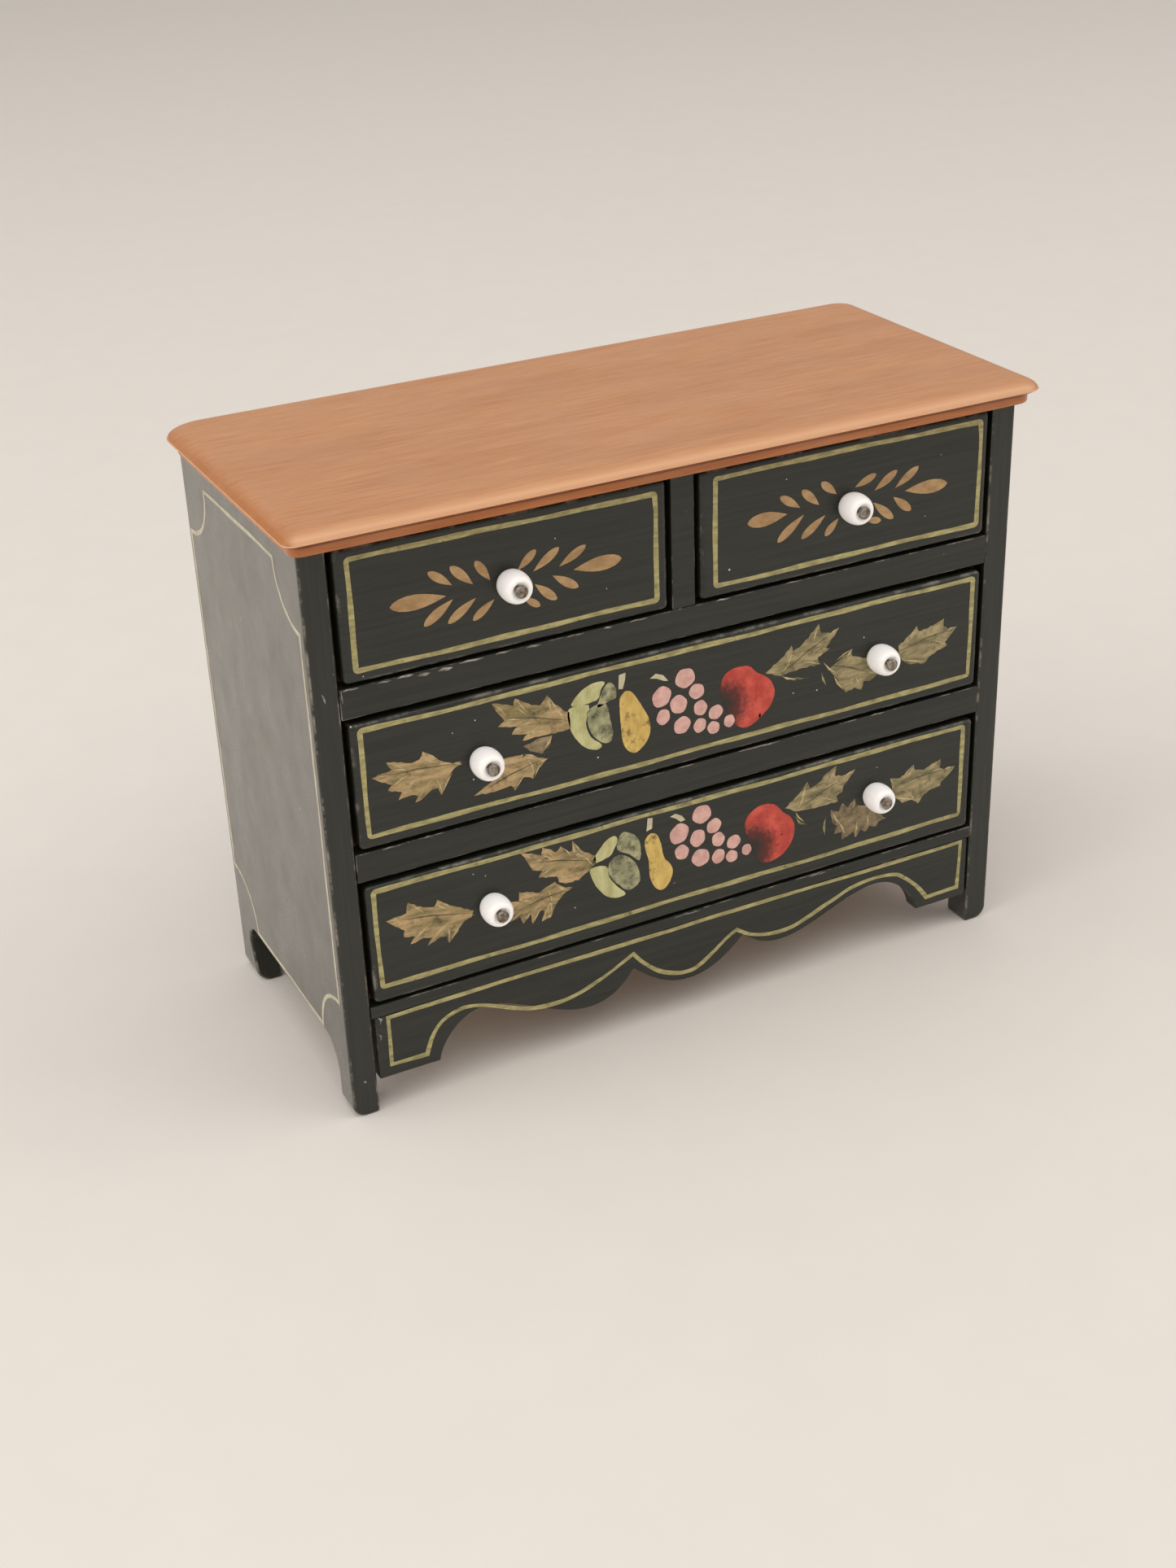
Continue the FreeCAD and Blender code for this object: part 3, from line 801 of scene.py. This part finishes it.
# ----------------------------------------------------------
# The fruit piece on each long drawer: toothed leaves both ways from a striped melon, a
# pear, a bunch of grapes and a red apple, brushed freehand, so the two differ a little.
leaf_brown = thin_paint("leaf_brown", (198, 166, 120), (128, 116, 76), (2.6, 0.7, 0.7), (0.52, 0.76))
leaf_olive = thin_paint("leaf_olive", (178, 160, 118), (112, 106, 74), (2.6, 0.7, 0.7), (0.52, 0.76))
leaf_faint = thin_paint("leaf_faint", (160, 140, 106), (112, 100, 72), (2.4, 1.0, 1.0), (0.46, 0.72))
leaf_light = thin_paint("leaf_light", (206, 188, 144), (172, 152, 108), (0.9, 0.6, 0.6), (0.6, 0.8))
leaf_dark = thin_paint("leaf_dark", (112, 98, 66), (80, 72, 50), (0.9, 0.6, 0.6), (0.5, 0.7))
melon_light = thin_paint("melon_light", (206, 202, 148), (178, 174, 118), (0.8, 0.8, 2.0))
melon_dull = thin_paint("melon_dull", (186, 182, 140), (138, 137, 104), (1.2, 0.8, 1.4), (0.46, 0.66))
pear_gold = thin_paint("pear_gold", (230, 200, 116), (198, 162, 86), (1.0, 0.8, 2.0), (0.54, 0.70),
                       ground=tone(96, 76, 42))
grape_pink = thin_paint("grape_pink", (232, 186, 175), (206, 158, 148), (0.8, 0.8, 0.8), (0.8, 0.95))
cream = thin_paint("cream", (214, 204, 172), (186, 176, 140), (0.8, 0.8, 0.8), (0.75, 0.9))
HOLLOW_RED = tone(96, 40, 36)
HOLLOW_RADIUS = 4.1
OVER_PAINT = 0.015


def drop(x, z, radius, turn_by):
    # a round dab, a little out of true
    outline = []
    for k in range(18):
        angle = math.tau * k / 18
        size = radius * (1 + 0.05 * math.sin(2 * angle + turn_by) + 0.035 * math.sin(5 * angle + 2 * turn_by))
        outline.append((x + size * math.cos(angle), z + 1.04 * size * math.sin(angle)))
    return outline


def swollen(outline, share):
    # the same outline, share times as large about its middle
    middle = sum((Vector(point) for point in outline), Vector((0, 0))) / len(outline)
    return [middle + (Vector(point) - middle) * share for point in outline]


def ragged(outline, depth=0.07, step=0.45):
    # a brushed edge: the straight runs between its points waver a little
    line = []
    count = len(outline)
    for i in range(count):
        here, after = Vector(outline[i]), Vector(outline[(i + 1) % count])
        gap = after - here
        pieces = max(1, round(gap.length / step))
        across = Vector((-gap.y, gap.x)).normalized()
        for k in range(pieces):
            point = here + gap * k / pieces
            wave = math.sin(9.1 * point.x + 2.3 * point.y) + math.sin(17.3 * point.y - 5.7 * point.x)
            line.append(point + across * depth * wave * (0.3 if k == 0 else 0.7))
    return line


def flick(points, width):
    # one quick stroke, pointed at both ends
    line = [Vector(point) for point in points]
    there = []
    back_again = []
    for i in range(1, len(line) - 1):
        along = (line[i + 1] - line[i - 1]).normalized()
        across = Vector((-along.y, along.x)) * width / 2
        there.append(line[i] + across)
        back_again.append(line[i] - across)
    return [line[0]] + there + [line[-1]] + back_again[::-1]


def veins(leaf, base, point, width=0.16):
    # light flicks from the teeth of a leaf in towards its middle, leaning back to the stalk
    base = Vector(base)
    along = Vector(point) - base
    strokes = []
    count = len(leaf)
    for i in range(count):
        before, here, after = Vector(leaf[i - 1]), Vector(leaf[i]), Vector(leaf[(i + 1) % count])
        if (before - here).angle(after - here) > math.radians(88) or (here - base).length < 1.2:
            continue
        share = (here - base).dot(along) / along.length_squared
        foot = base + along * max(0.05, share - 0.28)
        start = here + (foot - here) * 0.06
        end = here + (foot - here) * 0.72
        middle = (start + end) / 2 + Vector((0.0, 0.10))
        strokes.append(flick([start, middle, end], width))
    return strokes


middle_leaves = [
    [(-36.3, 40.5), (-35.2, 40.8), (-34.1, 40.9), (-34.6, 41.9), (-33.4, 41.6), (-32.6, 41.3),
     (-31.9, 41.1), (-31, 41.3), (-30.6, 42.1), (-29.7, 41.4), (-29.1, 40.7), (-28.3, 40.3), (-27.4, 39.9),
     (-26.5, 39.9), (-26.5, 39.5), (-27.2, 39.3), (-27.7, 38.9), (-28, 38.2), (-28.6, 37.2), (-28.9, 36.6),
     (-29.2, 37.5), (-29.9, 37.5), (-30.9, 36.8), (-31.8, 36.5), (-31.5, 37.2), (-32.2, 37.5),
     (-33.6, 37.3), (-33.2, 38.1), (-34.7, 38.7), (-34.2, 39.2), (-35.3, 39.8)],
    [(-22.6, 45.5), (-21, 45), (-20.2, 44.6), (-20, 45.4), (-19.3, 44.9), (-18.2, 44.2), (-17.2, 43.9),
     (-16.3, 44.9), (-15.9, 43.8), (-15.2, 43.4), (-14.6, 42.7), (-13.9, 42.3), (-13.8, 40.4),
     (-15.2, 40.3), (-17.5, 40.4), (-19.4, 40.4), (-18.8, 41), (-20.6, 41.4), (-19.9, 42.1), (-22.1, 42.7),
     (-21.3, 43.2), (-22, 44.2)],
    [(-22, 38.9), (-19.4, 38.8), (-19.6, 38.3), (-18.9, 38.7), (-18.2, 38.2), (-16.7, 37.5), (-17.4, 36.9),
     (-18.1, 36.5), (-18.4, 35.6), (-19.3, 36.1), (-19.9, 36.1), (-20.6, 34.8), (-21, 35.5), (-22.1, 35.4),
     (-23, 35.3), (-25.3, 35.5), (-24.1, 36.1), (-22.9, 36.8), (-21.9, 37.6)],
    [(10.1, 40.9), (11.5, 41.8), (12.5, 42.4), (13.4, 43.5), (13.6, 42.7), (14.5, 43), (15.6, 43.9),
     (16.9, 45.2), (17.2, 44.1), (18.5, 43.8), (19.6, 44.2), (18.6, 43), (17.9, 42.1), (18.4, 41.9),
     (16.8, 41.2), (17.2, 40.3), (14.5, 40.4), (12.1, 40.1)],
    [(24.9, 37.2), (23.8, 36.6), (23, 36.8), (22.7, 35.8), (21.8, 36.3), (20.6, 36), (19.8, 37.2),
     (19.2, 38.3), (17.6, 40.4), (18.5, 39.5), (19.2, 39.9), (20.3, 40.6), (21.4, 41.2), (21.4, 40.3),
     (22.4, 39.9), (23.4, 39.6)],
    [(27.6, 40), (28.6, 40.7), (29.5, 41.3), (30, 41.9), (30.3, 41.2), (31.5, 41.3), (32.6, 41.6),
     (33.7, 42), (33.7, 41), (34.4, 40.6), (35.6, 40.6), (34.8, 39.8), (34, 39), (34.3, 38.5), (33, 38.2),
     (31.8, 37.6), (31.1, 37), (30, 37.3), (29, 37.4), (28.3, 38.1), (27.7, 38.6)],
    flick([(12.1, 39.9), (13.8, 39.3), (15.8, 39)], 0.25),
    flick([(17.4, 39.2), (17.6, 38.4), (18, 37.5)], 0.3),
]
bottom_leaves = [
    [(-36.2, 23.5), (-34.9, 23.7), (-33.9, 23.8), (-33.6, 25), (-32.6, 24.3), (-31.5, 23.8), (-30.7, 23.6),
     (-30.3, 24.4), (-29.3, 23.6), (-28.6, 23.1), (-27.3, 22.3), (-26.2, 21.8), (-26.5, 21.1),
     (-27.3, 20.9), (-28, 20.2), (-28.6, 19.4), (-29.3, 18.7), (-29.5, 19.6), (-30.2, 19.7), (-31.8, 19.1),
     (-31.2, 20), (-32.2, 20.2), (-33.7, 19.9), (-33.1, 20.7), (-34.4, 21), (-34.2, 21.8), (-35.2, 22.6)],
    [(-20.4, 27.1), (-19, 26.7), (-18, 26.2), (-17.8, 27.1), (-17.1, 26.7), (-16.2, 26), (-15.6, 26.6),
     (-15.1, 25.7), (-14.3, 25.6), (-14.2, 26.9), (-13.6, 25.9), (-13, 25.2), (-11.5, 24.2), (-11.4, 23.4),
     (-12.3, 22.6), (-13.6, 21.8), (-15.2, 21.8), (-16, 22.2), (-16.2, 23), (-18.4, 23.5), (-17.9, 24.2),
     (-19, 24.6), (-19.5, 25.6)],
    [(-22, 21.5), (-20.9, 21.3), (-20.8, 22.4), (-18.3, 21.6), (-17.5, 22.1), (-16.5, 22.4), (-15.6, 21.5),
     (-14.4, 21.1), (-15.6, 20.5), (-16.2, 19.9), (-16.9, 18.9), (-17.2, 18.1), (-18.3, 17.9),
     (-17.9, 19.2), (-18.6, 19.3), (-19.4, 17.9), (-19.6, 19.3), (-20.5, 18.3), (-20.9, 19.4), (-22, 19)],
    [(12.8, 23.3), (13.8, 24), (14.7, 24.7), (15.7, 25.9), (16.1, 24.9), (17.2, 25.3), (18.3, 26.3),
     (19.6, 26.9), (19.5, 25.6), (20.8, 25.4), (22.2, 25.8), (21.4, 24.8), (20.6, 24), (20.5, 23.3),
     (19.7, 23), (19.9, 22.2), (16.7, 22.2), (14.2, 22.5)],
    [(27.1, 23.2), (28.5, 22.9), (29.6, 23.3), (30.4, 24.2), (30.6, 23.4), (31.8, 23.1), (33, 23.6),
     (34.2, 23.9), (34.1, 22.8), (34.9, 22.3), (36.3, 22.4), (35.2, 21.3), (34.3, 20.8), (34.3, 20.3),
     (33.1, 20.2), (32, 19.8), (31.2, 18.8), (30.3, 19.6), (28.9, 19.5), (28.2, 20.2), (27.5, 21.2)],
    flick([(14.1, 22), (14.7, 20.9), (15.8, 20.3)], 0.25),
    flick([(18.3, 20.8), (18.1, 19.5), (18.2, 18.2)], 0.3),
]
bottom_faint = [
    [(26.7, 18.1), (25.6, 17.9), (25.2, 17.3), (24.4, 17.7), (23.8, 17.1), (23.2, 17.6), (22.4, 16.7),
     (22.2, 17.6), (20.6, 16.9), (20.6, 18), (19.5, 18), (19.9, 19), (19.2, 19.6), (19, 21.3),
     (20.1, 20.8), (20.6, 21.8), (21.2, 21), (22.2, 21.9), (22.6, 20.9), (23.8, 20.6), (25.2, 19.4)],
]
middle_faint = [[(-19.4, 39.7), (-17.6, 40.2), (-16, 40.1), (-16.2, 39.2), (-17.2, 38.3), (-18.6, 39)]]
stalks = {
    "middle": [
        ((-26.5, 39.7), (-36.3, 40.5)), ((-13.8, 41.3), (-22.4, 43.8)), ((-16.7, 37.8), (-25.3, 35.5)),
        ((12.1, 40.3), (19.2, 44)), ((17.6, 40.2), (24.9, 37.2)), ((27.6, 39.3), (35.6, 40.6)),
    ],
    "bottom": [
        ((-26.3, 21.5), (-36.2, 23.5)), ((-11.5, 23.6), (-20, 25.8)), ((-14.4, 21.1), (-22, 20)),
        ((14.2, 22.5), (21.6, 25.4)), ((27.3, 22), (36.3, 22.4)),
    ],
}
loose_strokes = {
    "middle": [
        [(-27.3, 39.9), (-26.9, 39.75), (-26.4, 39.5)], [(-30.7, 41.6), (-30.2, 41), (-29.2, 40.4)],
        [(-29.3, 38.6), (-29, 37.8), (-28.8, 36.9)], [(-16.3, 44.6), (-16.1, 43.6), (-15.9, 42.6)],
        [(-15.4, 43.2), (-14.8, 42.2), (-14.6, 41.2)], [(-19, 41), (-17.4, 40.9), (-15.6, 40.6)],
        [(-22, 42.8), (-20.9, 42.6), (-19.8, 42.3)], [(-20.6, 41.5), (-20.1, 41.9), (-19.2, 42)],
        [(-19, 38.2), (-18.5, 37.3), (-18.3, 36.2)], [(-17.8, 38), (-17.2, 37.4), (-16.6, 37.6)],
        [(-16, 40.2), (-16.4, 39.4), (-17, 38.8)], [(12.1, 40.1), (12.9, 39.6), (14, 39.3)],
        [(12.3, 40.4), (12.9, 41.2), (13.6, 42.4)], [(17.6, 40.4), (18.4, 39.4), (19.3, 38.7)],
        [(19, 38.5), (19.5, 37.4), (20.4, 36.3)], [(20.6, 40.3), (21, 40.7), (21.3, 41)],
        [(28, 38.2), (29.6, 37.7), (31.4, 37.2)], [(28.6, 40.3), (29.4, 40.9), (29.9, 41.6)],
    ],
    "bottom": [
        [(-27.3, 21.4), (-26.8, 21.5), (-26.2, 21.2)], [(-30.4, 24), (-30, 23.4), (-29, 22.8)],
        [(-29.3, 20.8), (-29.2, 20), (-29.3, 19)], [(-14.2, 26.5), (-14, 25.5), (-13.4, 24.4)],
        [(-13.2, 24.9), (-12.4, 24), (-11.8, 23)], [(-17.6, 23.6), (-16.4, 23.2), (-15, 22.4)],
        [(-19.2, 24.7), (-18.4, 24.6), (-17.6, 24.9)], [(-17.4, 21.8), (-17, 20.6), (-17.1, 18.6)],
        [(-16.4, 22.1), (-15.6, 21.2), (-14.9, 20.9)], [(14.2, 22.4), (14.6, 21.6), (15.4, 20.8)],
        [(14.6, 22.8), (15.1, 23.8), (15.6, 25.2)], [(19.2, 21), (19.7, 19.9), (20.4, 18.9)],
        [(20, 19.6), (20.6, 18.6), (21, 17.5)], [(22, 20.6), (22.2, 21.2), (22.2, 21.6)],
        [(22.6, 18.8), (22.6, 17.9), (22.4, 17.2)], [(24, 19.4), (24.2, 18.4), (23.9, 17.6)],
        [(27.6, 20.6), (29.2, 20), (31, 19.3)], [(28.8, 22.6), (29.8, 23.2), (30.3, 23.9)],
    ],
}
melon_lights = {
    "middle": [
        [(-13.4, 42.9), (-13, 43.8), (-11.9, 44.6), (-10.8, 44.9), (-9.7, 44.7), (-10.2, 43.9),
         (-10.7, 42.9)],
        [(-13.8, 42.5), (-13.9, 41), (-13.3, 39.2), (-12.2, 37.8), (-10.9, 37.2), (-10.3, 37.6),
         (-11.5, 38.8), (-12, 40.5), (-11.6, 42.4)],
    ],
    "bottom": [
        [(-11.8, 23.4), (-11, 24.7), (-10, 25.7), (-9, 25.9), (-8.8, 25.2), (-9.3, 24.2), (-9.9, 23.6)],
        [(-12, 22.6), (-11.9, 21.4), (-11.2, 19.9), (-10.2, 18.7), (-9, 18.2), (-8, 18.4), (-9, 19.6),
         (-9.9, 21), (-10.2, 22.4)],
    ],
}
melon_shades = {
    "middle": [
        [(-10.4, 42.1), (-9.9, 43.6), (-9.2, 44.4), (-8.5, 43.9), (-8.4, 42.7), (-9.2, 42.5)],
        [(-11.4, 41.8), (-9.6, 41.9), (-9.2, 40), (-9, 38.2), (-9.8, 37.8), (-11, 38.8), (-11.6, 40.4)],
    ],
    "bottom": [
        [(-8.3, 25.6), (-7.6, 25.9), (-6.4, 25), (-6, 23.5), (-6.2, 22.3), (-7.3, 23.3), (-8.6, 24.2)],
        [(-9.6, 22.6), (-8.6, 23.2), (-7.4, 22.6), (-6.5, 21.3), (-6.3, 19.6), (-7.5, 18.9), (-8.8, 20),
         (-9.7, 21.4)],
    ],
}
pears = {
    "middle": [
        (-7.9, 42.2), (-7.3, 43), (-6.6, 42.9), (-5.9, 42), (-5.2, 40.7), (-4.5, 39.3), (-4.3, 37.9),
        (-4.7, 36.6), (-5.8, 35.6), (-6.6, 35.6), (-7.4, 36.4), (-7.8, 38), (-7.9, 40.2),
    ],
    "bottom": [
        (-5.3, 24.3), (-4.6, 25), (-3.8, 24.6), (-3.3, 23.3), (-3, 21.6), (-2.2, 20.4), (-1.9, 19.4),
        (-2.3, 18.2), (-3.2, 17.4), (-4.2, 18), (-4.8, 19.6), (-4.9, 21.6), (-5.3, 23.2),
    ],
}
stems = {
    "middle": [
        [(-8, 43.5), (-7.9, 45.1), (-7.1, 45.2), (-7.2, 44.4), (-7.5, 43.4)],
        [(-4.2, 43.8), (-3.5, 44.2), (-2.6, 43.8), (-2, 43), (-2.5, 43.1), (-3.4, 43.6)],
        flick([(9.3, 35.6), (9.4, 35.95), (9.45, 36.3)], 0.3),
    ],
    "bottom": [
        [(-5.1, 25.4), (-4.9, 27), (-4.3, 26.9), (-4.4, 25.6)],
        [(-2.1, 26.4), (-1.4, 26.6), (-0.6, 26.1), (-0.2, 25.5), (-0.8, 25.4), (-1.4, 26)],
    ],
}
grapes = {
    "middle": [
        (-2.85, 41.3, 1.15), (0.05, 42.8, 1.15), (-0.8, 39.9, 1.05), (-2.7, 38.85, 0.85), (-0.4, 37.3, 1),
        (1.45, 40.9, 0.9), (1.9, 38.8, 0.85), (1.8, 36.7, 0.8), (3.8, 37.8, 0.85), (3.5, 36, 0.75),
        (5.5, 36.3, 0.7),
    ],
    "bottom": [
        (-1, 23.95, 1.2), (1.9, 25.6, 1.15), (-0.7, 21.5, 0.9), (1.35, 22.7, 1), (3.45, 23.7, 0.9),
        (1.7, 20.1, 1.1), (4, 21.8, 0.85), (4, 19.6, 0.85), (6, 20.9, 0.85), (5.75, 19.1, 0.75),
        (7.7, 19.4, 0.65),
    ],
}
apples = {
    "middle": (
        [(4.7, 41.6), (5.5, 42.3), (6.6, 42.5), (8, 42.3), (9, 41.3), (10.2, 40.5), (11, 39.5),
         (11.3, 38.2), (10.8, 36.9), (9.8, 36), (8.2, 35), (6.8, 35.2), (5.6, 36.6), (4.7, 38.8),
         (4.4, 40.4)],
        (4.2, front_face.y / mm, 38.3),
    ),
    "bottom": (
        [(7.9, 23.7), (9.2, 24.5), (10.6, 24.5), (11.6, 24), (12.5, 22.9), (13.6, 21.9), (14.1, 20.5),
         (13.8, 18.9), (12.8, 17.6), (11.8, 17.1), (10.4, 16.9), (9, 17.9), (8, 20.2), (7.5, 22.4)],
        (7.9, front_face.y / mm, 19.3),
    ),
}


def mid_vein(base, tip):
    # a dark stroke from the stalk nearly to the tip of a leaf
    base, tip = Vector(base), Vector(tip)
    return flick([base, (base + tip) / 2 + Vector((0, 0.2)), base.lerp(tip, 0.86)], 0.16)


for drawer in ("middle", "bottom"):
    body = drawer + "_drawer"
    leaves = middle_leaves if drawer == "middle" else bottom_leaves
    faint = middle_faint if drawer == "middle" else bottom_faint
    outline, hollow = apples[drawer]
    apple_red = thin_paint(drawer + "_apple_red", (216, 92, 76), (186, 64, 54), (1.6, 1.0, 1.6),
                           (0.8, 0.95), hollow=hollow)
    strokes = [stroke for leaf, stalk in zip(leaves, stalks[drawer]) for stroke in veins(leaf, *stalk)]
    strokes += [flick(points, 0.24) for points in loose_strokes[drawer]]
    work = {
        "left_leaves": ([ragged(one) for one in leaves if one[0][0] < 0], leaf_brown),
        "right_leaves": ([ragged(one) for one in leaves if one[0][0] > 0], leaf_olive),
        "leaf_lights": (strokes, leaf_light),
        "leaf_veins": ([mid_vein(*stalk) for stalk in stalks[drawer]], leaf_dark),
        "faint_leaf": ([ragged(one) for one in faint], leaf_faint),
        "melon": ([ragged(smooth(swollen(one, 1.05), 3), 0.04) for one in melon_lights[drawer]], melon_light),
        "melon_shade": ([ragged(smooth(swollen(one, 1.12), 3), 0.05) for one in melon_shades[drawer]],
                        melon_dull),
        "pear": ([ragged(smooth(pears[drawer], 3), 0.03)], pear_gold),
        "stems": (stems[drawer], cream),
        "grapes": ([drop(*one, k * 1.7) for k, one in enumerate(grapes[drawer])], grape_pink),
        "apple": ([ragged(smooth(outline, 3), 0.03)], apple_red),
    }
    for word, (outlines, material) in work.items():
        on_top = word in ("leaf_lights", "leaf_veins", "grapes")
        on_front(body, word, [[one] for one in outlines], material, FILM_PROUD + OVER_PAINT * on_top)

# ----------------------------------------------------------
# Years of handling: pale scuffs and flecks where the drawers have rubbed the rails and the
# lips of the long fronts.
scuffed = thin_paint("scuffed", (176, 170, 158), (120, 115, 106), (1.2, 0.4, 0.4), (0.44, 0.66))
# each: from x, to x, height, width of the fleck
rail_scuffs = [
    (-38.7, -36.9, 50.75, 0.18), (-35, -33.4, 50.7, 0.14), (-32.9, -31, 50.75, 0.2),
    (-30.7, -29.2, 50.5, 0.34), (-28.4, -26.7, 50.5, 0.34), (-26.1, -23.2, 50.75, 0.2),
    (-22, -20.4, 50.8, 0.12), (-18.6, -16.8, 50.7, 0.2), (-14, -11.8, 50.8, 0.14),
    (-9.6, -8.6, 50.75, 0.16), (-6.6, -4.4, 50.8, 0.12), (3.8, 5.6, 50.8, 0.14), (12, 15.2, 50.85, 0.12),
    (-36, -33.8, 32, 0.14), (-31.4, -30, 32.05, 0.2), (-12, -9, 32.05, 0.12),
    (8, 12, 32, 0.14), (24, 26, 32.05, 0.14), (-2, 1.6, 13.1, 0.12), (16, 18.5, 13.1, 0.12),
]
post_scuffs = [
    ([(-38.3, 11.9), (-37.9, 11.5), (-38.1, 10.9)], 0.3),
    ([(-38.4, 9.8), (-38.1, 9.4), (-38.2, 8.8)], 0.16),
    ([(-40.8, 51), (-40.6, 50.4), (-40.5, 49.8)], 0.22),
    ([(-38.8, 50.9), (-38.75, 50), (-38.7, 49.4)], 0.16),
]
flecks = [flick([(a, z - 0.05), ((2 * a + b) / 3, z + 0.05), ((a + 2 * b) / 3, z - 0.03), (b, z)], width)
          for a, b, z, width in rail_scuffs]
flecks += [flick(points, width) for points, width in post_scuffs]
paint_film("rail_scuffs", [[one] for one in flecks], rail_face, FRONT_TURN, "carcass", scuffed)
speck_white = thin_paint("speck_white", (226, 222, 214), (190, 186, 176), (0.8, 0.8, 0.8))
SPECK = 0.7
specks = {
    "left_drawer": [(-14.6, 61.9, 0.09), (-9, 55.2, 0.07), (-36.2, 51.9, 0.08)],
    "right_drawer": [(5.6, 54.1, 0.16), (12.6, 62.8, 0.08), (30.5, 55, 0.07)],
    "middle_drawer": [
        (-10.7, 36.1, 0.13), (-24.6, 44.1, 0.1), (-27.2, 43.3, 0.08), (-25.2, 37.4, 0.12),
        (13.7, 37.6, 0.1), (16.8, 37.2, 0.12), (22.9, 42.2, 0.1), (-38, 46.8, 0.14),
    ],
    "bottom_drawer": [
        (-26, 26.2, 0.08), (-24.6, 25.6, 0.09), (12.4, 20, 0.12), (25.2, 25.2, 0.08),
        (-14.2, 18.4, 0.1),
    ],
}
for body, dots in specks.items():
    on_front(body, "paint_specks", [[drop(x, z, size * SPECK, x)] for x, z, size in dots], speck_white)
